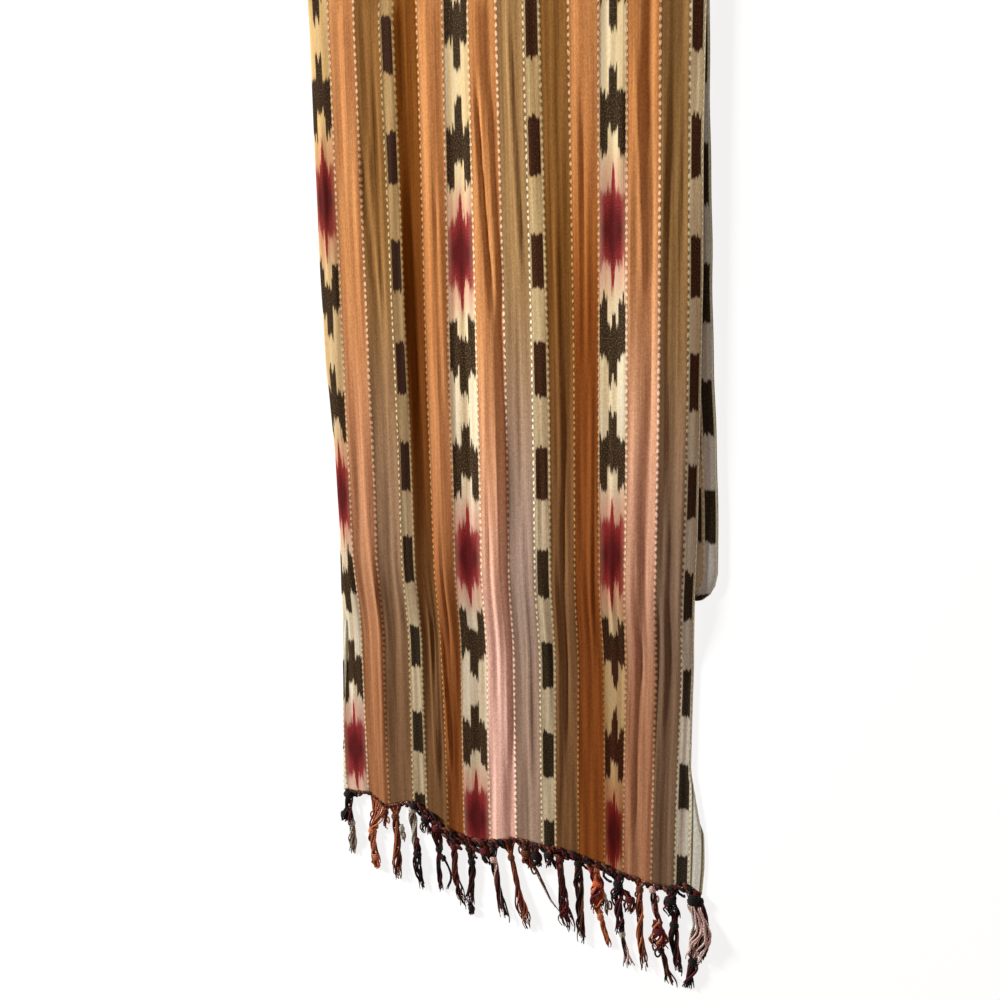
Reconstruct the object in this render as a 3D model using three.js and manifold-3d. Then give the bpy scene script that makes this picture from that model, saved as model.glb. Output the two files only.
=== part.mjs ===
// A woven ikat scarf, folded crosswise into a flat stack and laid on a surface.
//
// Frame: X across the scarf, Y along it towards the top fold, Z up from the surface it lies on.
// The origin is the middle of the part's flat underside. All sizes are millimetres.
//
// The cloth runs from the fringed hem up the front fall, round the top fold, down the back fall to
// the loop end, and then to and fro inside the stack, where its last turns and other end lie hidden.

import * as THREE from 'three';
import { mergeVertices } from 'three/addons/utils/BufferGeometryUtils.js';
import Module from 'manifold-3d';

// ---------------------------------------------------------------- driving sizes

const CLOTH = 1.4; // one layer of soft, lofty cloth
const GAP = 0.3; // air between neighbouring pieces

const TOP_BEND_Y = 286; // centre of the top fold's turn
const LOOP_Y = -46.6; // centre of the loop end's turn
const STACK = 5.6; // underside of the front fall where it lies on the stack
const RAMP_START_Y = -79; // the front fall leaves the floor here
const RAMP_LENGTH = 40;
const RETURN_LENGTH = 4; // front fall's own run under the top fold
const TURN_LEFT = -114.9; // side edges round the top fold
const TURN_RIGHT = 113.8;
const EDGE_DROOP = 2.4; // how far its side edges sink on the stack
const EDGE_BAND = 11; // over this width

const BACK_LAYERS = 2.8; // back fall: the cloth and its return, lying together
const BACK_LEFT = -112.5;
const HIDDEN_LEFT = -106.5;
const HIDDEN_RIGHT = 109.5;
const GROOVE = 0.9; // depth of the nick between two layers at an edge

const EDGE_ROUND = 0.6; // the side edges are this round
const HEM_ROW_Y = -222; // where the side edges meet the hem

const COLUMN_PITCH = 4.4; // spacing of the columns across the front fall
const STRIP = 2.4; // width of the knotted strip that carries the fringe
const STRIP_THICK = 1.2;
const FRINGE_LIFT = 0.35; // fringe above the floor

// Side edges of the front fall.
const FRONT_OUTLINE = [
  { y: 290, left: -115.5, right: 114.4 },
  { y: 245, left: -116, right: 114.4 },
  { y: 188, left: -117.3, right: 114.5 },
  { y: 128, left: -118.5, right: 115.8 },
  { y: 69, left: -118.5, right: 116 },
  { y: 20, left: -115.4, right: 116 },
  { y: -12, left: -115.4, right: 116 },
  { y: -38, left: -115, right: 115.4 },
  { y: -73, left: -118.7, right: 114.5 },
  { y: -110, left: -121, right: 114.1 },
  { y: -150, left: -123.5, right: 113.9 },
  { y: -174, left: -125, right: 118.4 },
  { y: -192, left: -126, right: 121.8 },
  { y: -208, left: -127, right: 123.1 },
  { y: -230, left: -127.5, right: 121.5 },
];

// Right edge of the back fall, which slips out from under the front towards its loop end.
const BACK_OUTLINE = [
  { y: 290, right: 112 },
  { y: 257, right: 114.2 },
  { y: 125, right: 119 },
  { y: 79, right: 121.4 },
  { y: 47, right: 123 },
  { y: 20, right: 124.4 },
  { y: -14, right: 126.2 },
  { y: -30, right: 126.6 },
  { y: -38, right: 125.4 },
  { y: -44, right: 122.4 },
  { y: -46.6, right: 118.8 },
  { y: -48.2, right: 114.6 },
];

// The hem wanders a little across the width.
const HEM = [
  { x: -128, y: -217 },
  { x: -118.5, y: -216 },
  { x: -106.5, y: -214 },
  { x: -93, y: -220.5 },
  { x: -80, y: -216 },
  { x: -71, y: -211.5 },
  { x: -62, y: -217 },
  { x: -48, y: -226 },
  { x: -31.5, y: -231.5 },
  { x: -12.6, y: -227 },
  { x: -1, y: -222.5 },
  { x: 22, y: -221 },
  { x: 42, y: -221.5 },
  { x: 57, y: -224.5 },
  { x: 73, y: -226.5 },
  { x: 91, y: -230 },
  { x: 100, y: -230 },
  { x: 112, y: -224 },
  { x: 123, y: -229.5 },
];

// Lengthwise ripples: where each crest runs, how far it reaches to either side, and how high it is.
const RIPPLES = [
  { name: 'left_roll', xTop: -107, xMid: -106, xHem: -113, left: 9, right: 12, hTop: 0.7, hMid: 1.2, hHem: 0.9 },
  { name: 'orange_1', xTop: -89, xMid: -88, xHem: -91, left: 12, right: 8, hTop: 1.2, hMid: 1.6, hHem: 1 },
  { name: 'ikat_1', xTop: -61.5, xMid: -60.5, xHem: -63.5, left: 18, right: 7, hTop: 2.6, hMid: 3.2, hHem: 1.7 },
  { name: 'orange_2', xTop: -43, xMid: -42.5, xHem: -44, left: 9.5, right: 17, hTop: 2.2, hMid: 2.6, hHem: 1.3 },
  { name: 'orange_3', xTop: -8, xMid: -7.5, xHem: -12, left: 20, right: 9, hTop: 2.3, hMid: 2.8, hHem: 1.3 },
  { name: 'ikat_2', xTop: 15, xMid: 20, xHem: 18, left: 15, right: 18, hTop: 1.7, hMid: 2.2, hHem: 1.1 },
  { name: 'orange_4', xTop: 52, xMid: 50, xHem: 48, left: 8, right: 10, hTop: 0.9, hMid: 1.2, hHem: 0.8 },
  { name: 'orange_5', xTop: 84, xMid: 82, xHem: 76, left: 22, right: 11, hTop: 2.1, hMid: 2.6, hHem: 1.4 },
  { name: 'selvedge', xTop: 106, xMid: 107, xHem: 105, left: 8, right: 9, hTop: 1.2, hMid: 1.6, hHem: 1 },
];
const RIPPLE_TOP_Y = 276; // ripples die out into the top fold
const RIPPLE_MID_Y = 40;
const RIPPLE_HEM_Y = -222;

// Tassels of the fringe: root and end across the width, length, bow to the side halfway, number of
// strands, their thickness, and their spacing where they are gathered and where they splay.
const TASSELS = [
  { name: 't01', root: -122.6, end: -123.8, length: 50, bow: -5.5, strands: 4, thick: 1.2, gather: 1.6, splay: 1.7 },
  { name: 't02', root: -98.2, end: -104.7, length: 57, bow: -2.2, strands: 5, thick: 1.2, gather: 1.6, splay: 1.9 },
  { name: 't03', root: -86.1, end: -87.5, length: 57, bow: 0, strands: 4, thick: 1.2, gather: 1.6, splay: 1.7 },
  { name: 't04', root: -71.6, end: -68.1, length: 66, bow: -1, strands: 4, thick: 1.2, gather: 1.6, splay: 2 },
  { name: 't05', root: -62.6, end: -51, length: 58, bow: 1, strands: 5, thick: 1, gather: 1.4, splay: 2.1 },
  { name: 't06', root: -42.5, end: -40.2, length: 54, bow: -1, strands: 3, thick: 1.2, gather: 1.6, splay: 1.6 },
  { name: 't07', root: -30.5, end: -34.9, length: 51, bow: 2, strands: 4, thick: 1.2, gather: 1.6, splay: 1.6 },
  { name: 't08', root: -16.7, end: -7.5, length: 52, bow: -1, strands: 5, thick: 1.1, gather: 1.5, splay: 2.2 },
  { name: 't09', root: -3, end: 12.1, length: 60, bow: -1, strands: 4, thick: 1.3, gather: 1.7, splay: 2 },
  { name: 't10', root: 6.5, end: 13.2, length: 16, bow: 0.5, strands: 4, thick: 1.2, gather: 1.6, splay: 1.7 },
  { name: 't11', root: 20, end: 28, length: 38, bow: 0, strands: 3, thick: 1, gather: 1.4, splay: 1.7 },
  { name: 't12', root: 30.5, end: 37, length: 55, bow: -1, strands: 5, thick: 1.1, gather: 1.5, splay: 1.9 },
  { name: 't13', root: 43.4, end: 45.6, length: 60, bow: 0, strands: 4, thick: 1.1, gather: 1.5, splay: 1.7 },
  { name: 't14', root: 53, end: 61.5, length: 54, bow: 2.5, strands: 5, thick: 1.2, gather: 1.6, splay: 1.7 },
  { name: 't15', root: 69.6, end: 74.5, length: 58, bow: 2, strands: 5, thick: 1.1, gather: 1.5, splay: 2.2 },
  { name: 't16', root: 82.9, end: 90.6, length: 57, bow: -1, strands: 4, thick: 1.1, gather: 1.5, splay: 1.6 },
  { name: 't17', root: 93.8, end: 101.8, length: 52, bow: 0, strands: 4, thick: 1.2, gather: 1.6, splay: 1.7 },
  { name: 't18', root: 105.5, end: 110.6, length: 56, bow: 0, strands: 4, thick: 1.2, gather: 1.6, splay: 1.7 },
  { name: 't19', root: 116, end: 117, length: 66, bow: 6, strands: 5, thick: 1.4, gather: 1.8, splay: 1.9 },
];
const STRAND_SIDES = 3;
const STRAND_STEPS = 5;
const KNOT_AT = 0.17; // each tassel is tied this far down
const KNOT_WIDTH = 0.09;
const KNOT_SWELL = 0.3;

// ---------------------------------------------------------------- helpers

const clamp01 = (t) => Math.min(1, Math.max(0, t));
const smooth = (t) => { const k = clamp01(t); return k * k * (3 - 2 * k); };
const lerp = (a, b, t) => a + (b - a) * t;

/** Reads one column of a table against another, with straight lines between the rows. */
function along(rows, key, at, value) {
  const up = rows[rows.length - 1][key] > rows[0][key];
  const list = up ? rows : [...rows].reverse();
  if (at <= list[0][key]) return list[0][value];
  for (let i = 1; i < list.length; i++) {
    if (at <= list[i][key]) {
      const t = (at - list[i - 1][key]) / (list[i][key] - list[i - 1][key]);
      return lerp(list[i - 1][value], list[i][value], t);
    }
  }
  return list[list.length - 1][value];
}

/** A value that runs from the top fold by way of the middle to the hem. */
function topMidHem(y, top, mid, hem) {
  return y > RIPPLE_MID_Y
    ? lerp(mid, top, smooth((y - RIPPLE_MID_Y) / (RIPPLE_TOP_Y - RIPPLE_MID_Y)))
    : lerp(mid, hem, smooth((RIPPLE_MID_Y - y) / (RIPPLE_MID_Y - RIPPLE_HEM_Y)));
}

/** Height of the lengthwise ripples at a place. */
function ripple(x, y) {
  let h = 0;
  for (const r of RIPPLES) {
    const d = x - topMidHem(y, r.xTop, r.xMid, r.xHem);
    const reach = d < 0 ? r.left : r.right;
    if (Math.abs(d) < reach) h += topMidHem(y, r.hTop, r.hMid, r.hHem) * 0.5 * (1 + Math.cos((Math.PI * d) / reach));
  }
  return h * smooth((TOP_BEND_Y - y) / 26);
}

/** Underside of the front fall above the floor, without its ripples. */
const rise = (y) => STACK * smooth((y - RAMP_START_Y) / RAMP_LENGTH);

/** How far the side edges sink towards the surface beside the stack. */
function droop(x, y, left, right) {
  const inward = Math.min(x - left, right - x);
  const k = clamp01(1 - inward / EDGE_BAND);
  return EDGE_DROOP * k * k * (rise(y) / STACK) * smooth((TOP_BEND_Y - y) / 26);
}

/** A closed solid through rings of equal point count, with both ends filled between paired points. */
function loft(rings, pairs) {
  const n = rings[0].length;
  const position = rings.flat(2);
  const index = [];
  for (let r = 0; r + 1 < rings.length; r++) {
    for (let i = 0; i < n; i++) {
      const a = r * n + i;
      const b = r * n + ((i + 1) % n);
      index.push(a, b, b + n, a, b + n, a + n);
    }
  }
  const last = (rings.length - 1) * n;
  for (let k = 0; k + 1 < pairs.length; k++) {
    const [p, q] = pairs[k];
    const [s, t] = pairs[k + 1];
    const faces = [];
    if (p !== s) faces.push([p, q, s]);
    if (q !== t) faces.push([s, q, t]);
    for (const [a, b, c] of faces) {
      index.push(a, b, c);
      index.push(last + a, last + c, last + b);
    }
  }
  const g = new THREE.BufferGeometry();
  g.setAttribute('position', new THREE.Float32BufferAttribute(position, 3));
  g.setIndex(index);
  return outward(g);
}

/** Turns the faces so that they point out. */
function outward(geometry) {
  const p = geometry.attributes.position;
  const index = Array.from(geometry.index.array);
  const [a, b, c] = [new THREE.Vector3(), new THREE.Vector3(), new THREE.Vector3()];
  let volume = 0;
  for (let i = 0; i < index.length; i += 3) {
    a.fromBufferAttribute(p, index[i]);
    b.fromBufferAttribute(p, index[i + 1]);
    c.fromBufferAttribute(p, index[i + 2]);
    volume += a.dot(b.cross(c));
  }
  if (volume < 0) {
    for (let i = 0; i < index.length; i += 3) [index[i + 1], index[i + 2]] = [index[i + 2], index[i + 1]];
    geometry.setIndex(index);
  }
  geometry.computeVertexNormals();
  return geometry;
}

/** The pairs of facing points of a ring whose top run is followed by its bottom run backwards. */
function facingPairs(columns, rightPoints, leftPoints) {
  const total = 2 * columns + rightPoints + leftPoints;
  const pairs = [];
  // Left nose, then each column's top and bottom point, then the right nose.
  const noseL = total - Math.ceil(leftPoints / 2);
  pairs.push([noseL, noseL]);
  for (let i = 0; i < columns; i++) pairs.push([i, 2 * columns + rightPoints - 1 - i]);
  const noseR = columns + Math.floor(rightPoints / 2);
  pairs.push([noseR, noseR]);
  return pairs;
}

// ---------------------------------------------------------------- front fall

const COLUMNS = Math.round((FRONT_OUTLINE[0].right - FRONT_OUTLINE[0].left) / COLUMN_PITCH) + 1;

/** One ring of the front fall's wall. place(x, k) gives [y, z, ny, nz] of the inner face and its way out. */
function wallRing(left, right, place, thick = CLOTH) {
  const outer = [];
  const inner = [];
  for (let i = 0; i < COLUMNS; i++) {
    const x = lerp(left, right, i / (COLUMNS - 1));
    const [y, z, ny, nz] = place(x);
    inner.push([x, y, z]);
    outer.push([x, y + ny * thick, z + nz * thick]);
  }
  const nose = (x, side) => {
    const [y, z, ny, nz] = place(x);
    return [x + side * thick * 0.45, y + ny * thick * 0.5, z + nz * thick * 0.5];
  };
  return [...outer, nose(right, 1), ...inner.reverse(), nose(left, -1)];
}

/** The top layer: from the hem up over the stack, round the top fold and a little way under it. */
function frontFall() {
  const rings = [];
  const flatRow = (y) => {
    const left = along(FRONT_OUTLINE, 'y', y, 'left') + EDGE_ROUND;
    const right = along(FRONT_OUTLINE, 'y', y, 'right') - EDGE_ROUND;
    return wallRing(left, right, (x) => [y, rise(y) + ripple(x, y) - droop(x, y, left, right), 0, 1]);
  };
  // Rows that follow the wandering hem and straighten out above it.
  const STRAIGHT_Y = -196;
  for (const k of [0, 0.3, 0.65]) {
    const y0 = lerp(HEM_ROW_Y, STRAIGHT_Y, k);
    const left = along(FRONT_OUTLINE, 'y', y0, 'left') + EDGE_ROUND;
    const right = along(FRONT_OUTLINE, 'y', y0, 'right') - EDGE_ROUND;
    rings.push(wallRing(left, right, (x) => {
      const y = lerp(along(HEM, 'x', x, 'y'), STRAIGHT_Y, k);
      return [y, ripple(x, y), 0, 1];
    }));
  }
  for (const y of [STRAIGHT_Y, -172, -142, -108, RAMP_START_Y, -69, -59, -49, -39]) rings.push(flatRow(y));
  for (const y of [-5, 35, 80, 130, 180, 225, 255, 276]) rings.push(flatRow(y));
  // Round the top fold.
  const middle = (STACK + CLOTH) / 2;
  const inner = middle - CLOTH;
  for (let k = 0; k <= 5; k++) {
    const a = (Math.PI * k) / 5;
    rings.push(wallRing(TURN_LEFT, TURN_RIGHT, () => [
      TOP_BEND_Y + inner * Math.sin(a), middle + inner * Math.cos(a), Math.sin(a), Math.cos(a),
    ]));
  }
  rings.push(wallRing(TURN_LEFT, TURN_RIGHT, () => [TOP_BEND_Y - RETURN_LENGTH, CLOTH, 0, -1]));
  return loft(rings, facingPairs(COLUMNS, 1, 1));
}

// ---------------------------------------------------------------- back fall and hidden layers

/** A ring of a flat bundle of layers, nicked between them at both edges. */
function bundleRing(y, left, right, bottom, top, layers, groove) {
  const across = 12;
  const ring = [];
  for (let i = 0; i < across; i++) ring.push([lerp(left + 1, right - 1, i / (across - 1)), y, top]);
  const side = (x, way) => {
    const points = [];
    for (let k = 0; k < layers; k++) {
      const a = lerp(top, bottom, (k + 0.3) / layers);
      const b = lerp(top, bottom, (k + 0.7) / layers);
      points.push([x, y, a], [x, y, b]);
      if (k + 1 < layers) points.push([x - way * groove, y, lerp(top, bottom, (k + 1) / layers)]);
    }
    return points;
  };
  ring.push(...side(right, 1));
  for (let i = across - 1; i >= 0; i--) ring.push([lerp(left + 1, right - 1, i / (across - 1)), y, bottom]);
  ring.push(...side(left, -1).reverse());
  return ring;
}

/** The pairs that fill a bundle's ends: edge points fan to the first and last columns. */
function bundlePairs(layers) {
  const across = 12;
  const edge = 3 * layers - 1;
  const pairs = [];
  const total = 2 * across + 2 * edge;
  // Left edge from its middle outwards, paired top with bottom.
  const mid = (edge - 1) / 2;
  for (let k = 0; k <= mid; k++) pairs.push([total - 1 - Math.floor(mid) + k, total - 1 - Math.ceil(mid) - k]);
  for (let i = 0; i < across; i++) pairs.push([i, 2 * across + edge - 1 - i]);
  for (let k = Math.ceil(mid) === mid ? 0 : 0; k <= mid; k++) {
    pairs.push([across + k, across + edge - 1 - k]);
  }
  return pairs;
}

/** The lowest stretch: the cloth that lies on the floor and its return, joined by the loop end. */
function backFall() {
  const rings = [];
  const half = BACK_LAYERS / 2;
  const row = (y, squeeze, groove) => {
    const right = along(BACK_OUTLINE, 'y', y, 'right');
    rings.push(bundleRing(y, BACK_LEFT + (1 - squeeze) * 1.5, right, half - half * squeeze, half + half * squeeze, 2, groove));
  };
  row(TOP_BEND_Y - RETURN_LENGTH - GAP, 1, GROOVE);
  for (const y of [257, 190, 125, 79, 47, 20, -14, -30, -38, -43]) row(y, 1, GROOVE);
  for (let k = 0; k <= 4; k++) {
    const a = (Math.PI / 2) * (k / 4) * 0.93;
    row(LOOP_Y - half * Math.sin(a), Math.cos(a), GROOVE * (1 - k / 4));
  }
  return loft(rings, bundlePairs(2));
}

/** The turns inside the stack, as one rounded bundle of two layers. */
function hiddenLayers() {
  const rings = [];
  const bottom = BACK_LAYERS + GAP;
  const top = STACK - GAP;
  const half = (top - bottom) / 2;
  const mid = (top + bottom) / 2;
  for (let k = 4; k >= 0; k--) {
    const a = (Math.PI / 2) * (k / 4) * 0.93;
    const c = Math.cos(a);
    rings.push(bundleRing(-41.5 - half * Math.sin(a), HIDDEN_LEFT, HIDDEN_RIGHT, mid - half * c, mid + half * c, 2, GROOVE));
  }
  for (const y of [40, 160, 262]) rings.push(bundleRing(y, HIDDEN_LEFT, HIDDEN_RIGHT, bottom, top, 2, GROOVE));
  // Its end fills the turn of the top fold.
  const stepY = TOP_BEND_Y - RETURN_LENGTH;
  rings.push(bundleRing(stepY, HIDDEN_LEFT, HIDDEN_RIGHT, bottom, top, 2, GROOVE));
  const centre = (STACK + CLOTH) / 2;
  const radius = centre - CLOTH - GAP;
  for (let k = 0; k <= 4; k++) {
    const a = (Math.PI / 2) * (k / 4) * 0.93;
    const c = Math.cos(a);
    const y = k === 0 ? stepY + 0.4 : TOP_BEND_Y + radius * Math.sin(a);
    rings.push(bundleRing(y, HIDDEN_LEFT, HIDDEN_RIGHT, centre - radius * c, centre + radius * c, 2, GROOVE));
  }
  return loft(rings, bundlePairs(2));
}

// ---------------------------------------------------------------- fringe

/** The knotted strip along the hem that the tassels hang from. */
function hemStrip() {
  const left = along(FRONT_OUTLINE, 'y', HEM_ROW_Y, 'left') + EDGE_ROUND;
  const right = along(FRONT_OUTLINE, 'y', HEM_ROW_Y, 'right') - EDGE_ROUND;
  const ring = (back) => wallRing(left, right, (x) => {
    const hem = along(HEM, 'x', x, 'y');
    return [hem - GAP - back, ripple(x, hem) + FRINGE_LIFT * 0.6, 0, 1];
  }, STRIP_THICK);
  return loft([ring(0), ring(STRIP * 0.5), ring(STRIP)], facingPairs(COLUMNS, 1, 1));
}

/** A thin three-sided strand through the given points, tapering by the given radii. */
function strand(points, radii) {
  const rings = points.map((p, i) => {
    const before = points[Math.max(0, i - 1)];
    const after = points[Math.min(points.length - 1, i + 1)];
    const way = new THREE.Vector3().subVectors(after, before).normalize();
    const side = new THREE.Vector3(0, 0, 1).cross(way).normalize();
    const up = new THREE.Vector3().crossVectors(way, side);
    const ring = [];
    for (let k = 0; k < STRAND_SIDES; k++) {
      // One flat side faces down.
      const a = (2 * Math.PI * (k + 0.25)) / STRAND_SIDES;
      const v = new THREE.Vector3().copy(p)
        .addScaledVector(side, radii[i] * Math.cos(a))
        .addScaledVector(up, radii[i] * Math.sin(a));
      ring.push([v.x, v.y, v.z]);
    }
    return ring;
  });
  return loft(rings, [[0, 0], [1, 2]]);
}

/** The strands of one tassel, side by side, gathered at the knot and splayed at the end. */
function tassel(t) {
  const strands = [];
  const floorZ = FRINGE_LIFT + t.thick * 0.5;
  for (let s = 0; s < t.strands; s++) {
    const place = s - (t.strands - 1) / 2;
    const rootX = t.root + place * t.gather;
    const hem = along(HEM, 'x', rootX, 'y');
    const rootY = hem - GAP - STRIP + 1.1;
    const rootZ = ripple(rootX, hem) + FRINGE_LIFT * 0.6 + STRIP_THICK * 0.5;
    const endY = along(HEM, 'x', t.root, 'y') - GAP - t.length + Math.abs(place) * 2.2 + (s % 2) * 3;
    const points = [];
    const radii = [];
    for (let i = 0; i <= STRAND_STEPS; i++) {
      const k = i / STRAND_STEPS;
      const knot = Math.exp(-(((k - KNOT_AT) / KNOT_WIDTH) ** 2));
      const pitch = lerp(t.gather, t.splay, smooth((k - 0.45) / 0.55));
      const x = lerp(t.root, t.end, k) + t.bow * Math.sin(Math.PI * k) + place * pitch;
      points.push(new THREE.Vector3(x, lerp(rootY, endY, k), lerp(rootZ, floorZ, smooth(k * 3))));
      radii.push(t.thick * (0.5 + KNOT_SWELL * 0.3 * knot - 0.2 * k));
    }
    strands.push(strand(points, radii));
  }
  return strands;
}

/** Joins closed geometries into one solid. */
function fuse(wasm, geometries) {
  const solids = geometries.map((geometry) => {
    const bare = geometry.clone();
    bare.deleteAttribute('normal');
    const g = mergeVertices(bare, 1e-4);
    return new wasm.Manifold(new wasm.Mesh({
      numProp: 3,
      vertProperties: new Float32Array(g.attributes.position.array),
      triVerts: new Uint32Array(g.index.array),
    }));
  });
  const mesh = wasm.Manifold.union(solids).getMesh();
  const g = new THREE.BufferGeometry();
  g.setAttribute('position', new THREE.BufferAttribute(new Float32Array(mesh.vertProperties), 3));
  g.setIndex(new THREE.BufferAttribute(new Uint32Array(mesh.triVerts), 1));
  g.computeVertexNormals();
  return g;
}

// ---------------------------------------------------------------- assembly

const wasm = await Module();
wasm.setup();

const cloth = (colour) => new THREE.MeshStandardMaterial({ color: colour, roughness: 0.85, metalness: 0 });

const scarf = new THREE.Group();
const add = (name, geometry, colour) => {
  const mesh = new THREE.Mesh(geometry, cloth(colour));
  mesh.name = name;
  scarf.add(mesh);
};

add('front_fall', frontFall(), 0xb4774c);
add('back_fall', backFall(), 0x6b6152);
add('hidden_layers', hiddenLayers(), 0x96704f);
add('fringe', fuse(wasm, [hemStrip(), ...TASSELS.flatMap(tassel)]), 0x3d2520);

export default scarf;
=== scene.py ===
"""A woven ikat scarf, folded crosswise into a flat stack and laid on a pale surface.

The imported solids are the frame: every cloth here is a thin shell on the form of the solid that it
stands for. X runs across the scarf, Y along it towards the top fold, and Z up. Sizes in the classes
are millimetres, and meshes are made in metres.
"""

from __future__ import annotations

import logging
import math
from dataclasses import dataclass, field, replace
from enum import Enum
from typing import Sequence

import bpy
import numpy as np
from mathutils import Matrix, Vector


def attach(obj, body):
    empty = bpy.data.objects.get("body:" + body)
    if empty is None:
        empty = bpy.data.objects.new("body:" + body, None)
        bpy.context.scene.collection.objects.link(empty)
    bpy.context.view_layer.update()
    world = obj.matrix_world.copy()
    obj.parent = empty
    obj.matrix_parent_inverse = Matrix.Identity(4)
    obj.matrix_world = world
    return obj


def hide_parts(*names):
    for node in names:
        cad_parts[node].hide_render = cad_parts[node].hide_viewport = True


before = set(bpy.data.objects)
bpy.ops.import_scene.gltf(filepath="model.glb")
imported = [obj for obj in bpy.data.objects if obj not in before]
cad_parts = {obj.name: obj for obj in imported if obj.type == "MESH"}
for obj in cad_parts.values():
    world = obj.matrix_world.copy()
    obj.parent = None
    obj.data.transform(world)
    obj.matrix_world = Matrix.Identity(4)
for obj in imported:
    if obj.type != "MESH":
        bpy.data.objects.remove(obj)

LOG = logging.getLogger("ikat_scarf")
MM = 0.001


# ------------------------------------------------------------------------------- small helpers


def linear(srgb: str) -> tuple[float, float, float, float]:
    """Turns an sRGB hex colour into linear light.

    Args:
        srgb: Six hex digits, with or without a leading hash.

    Returns:
        Red, green, blue and an alpha of one.
    """
    digits = srgb.lstrip("#")
    parts = [int(digits[i : i + 2], 16) / 255 for i in (0, 2, 4)]
    red, green, blue = (p / 12.92 if p <= 0.04045 else ((p + 0.055) / 1.055) ** 2.4 for p in parts)
    return red, green, blue, 1.0


def smooth(t: np.ndarray | float) -> np.ndarray:
    """Returns t eased between 0 and 1."""
    k = np.clip(t, 0.0, 1.0)
    return k * k * (3 - 2 * k)


def crest(t: np.ndarray | float) -> np.ndarray:
    """Returns a round crest: 1 at 0, and 0 from 1 away on either side."""
    return 0.5 * (1 + np.cos(math.pi * np.clip(t, -1, 1)))


def read(rows: Sequence[tuple[float, ...]], at: np.ndarray | float, column: int = 1) -> np.ndarray:
    """Reads one column of a table against its first, with straight lines between the rows.

    Args:
        rows: The table's rows, sorted either way by their first number.
        at: Where to read.
        column: The column to read.

    Returns:
        The value at each place.
    """
    table = np.array(sorted(rows), float)
    return np.interp(at, table[:, 0], table[:, column])


def add_node(
    tree: bpy.types.NodeTree,
    kind: str,
    inputs: dict[str | int, object] | None = None,
    **settings: object,
) -> bpy.types.Node:
    """Adds a node with its settings, input values and links.

    Args:
        tree: The node tree.
        kind: The node's type.
        inputs: Values, or outputs and fields to link, by input name or number.
        **settings: The node's own properties.

    Returns:
        The new node.
    """
    made = tree.nodes.new(kind)
    for name, value in settings.items():
        setattr(made, name, value)
    for name, value in (inputs or {}).items():
        source = value.socket if isinstance(value, Field) else value
        if isinstance(source, bpy.types.NodeSocket):
            tree.links.new(source, made.inputs[name])
        else:
            made.inputs[name].default_value = source
    return made


@dataclass(frozen=True)
class Field:
    """A value or a colour that varies over a surface: the output of one node, open to sums."""

    socket: bpy.types.NodeSocket

    def math(self, operation: str, *others: Field | float) -> Field:
        """Returns this value and the others, put through one sum.

        Args:
            operation: The sum, as shaders name it.
            *others: What it is taken with.

        Returns:
            The result.
        """
        inputs = dict(enumerate((self, *others)))
        made = add_node(self.socket.id_data, "ShaderNodeMath", inputs, operation=operation)
        return Field(made.outputs[0])

    def __add__(self, other: Field | float) -> Field:
        """Returns the sum."""
        return self.math("ADD", other)

    def __sub__(self, other: Field | float) -> Field:
        """Returns the difference."""
        return self.math("SUBTRACT", other)

    def __rsub__(self, other: float) -> Field:
        """Returns a number less this value."""
        return self.math("MULTIPLY_ADD", -1.0, other)

    def __mul__(self, other: Field | float) -> Field:
        """Returns the product."""
        return self.math("MULTIPLY", other)

    def __truediv__(self, other: Field | float) -> Field:
        """Returns the quotient."""
        return self.math("DIVIDE", other)

    def __pow__(self, other: Field | float) -> Field:
        """Returns the power."""
        return self.math("POWER", other)

    def __abs__(self) -> Field:
        """Returns the value without its sign."""
        return self.math("ABSOLUTE")

    def rise(self, low: float, high: float) -> Field:
        """Returns 0 at low and 1 at high, eased between and level beyond them.

        Args:
            low: Where it leaves 0.
            high: Where it reaches 1.

        Returns:
            The eased value.
        """
        inputs = {"Value": self, "From Min": low, "From Max": high}
        settings = {"interpolation_type": "SMOOTHSTEP"}
        made = add_node(self.socket.id_data, "ShaderNodeMapRange", inputs, **settings)
        return Field(made.outputs["Result"])

    def fall(self, low: float, high: float) -> Field:
        """Returns 1 at low and 0 at high, eased between and level beyond them."""
        return 1.0 - self.rise(low, high)

    def between(self, span: tuple[float, float], soft: float = 1.0) -> Field:
        """Returns 1 within a span and 0 outside it, eased by a soft length at both ends.

        Args:
            span: Its low and high end.
            soft: How far each end is eased.

        Returns:
            The eased value.
        """
        low, high = span
        return self.rise(low - soft, low + soft) * self.fall(high - soft, high + soft)


def tint(
    share: Field | float,
    first: Field | tuple[float, ...],
    second: Field | tuple[float, ...],
    blend: str = "MIX",
) -> Field:
    """Lays one colour over another.

    Args:
        share: How much of the second colour shows, from 0 to 1.
        first: The colour below.
        second: The colour on top.
        blend: How the second one changes the first.

    Returns:
        The colour that results.
    """
    tree = next(v.socket.id_data for v in (share, first, second) if isinstance(v, Field))
    inputs = {"Factor": share, 6: first, 7: second}
    settings = {"data_type": "RGBA", "blend_type": blend, "clamp_factor": True}
    return Field(add_node(tree, "ShaderNodeMix", inputs, **settings).outputs[2])


def new_material(name: str) -> bpy.types.Material:
    """Returns a new material whose node tree is empty."""
    made = bpy.data.materials.new(name)
    made.use_nodes = True
    made.node_tree.nodes.clear()
    return made


def add_object(name: str, data: bpy.types.ID) -> bpy.types.Object:
    """Puts a mesh, a lamp or a camera in the scene as one object."""
    made = bpy.data.objects.new(name, data)
    bpy.context.collection.objects.link(made)
    return made


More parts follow.
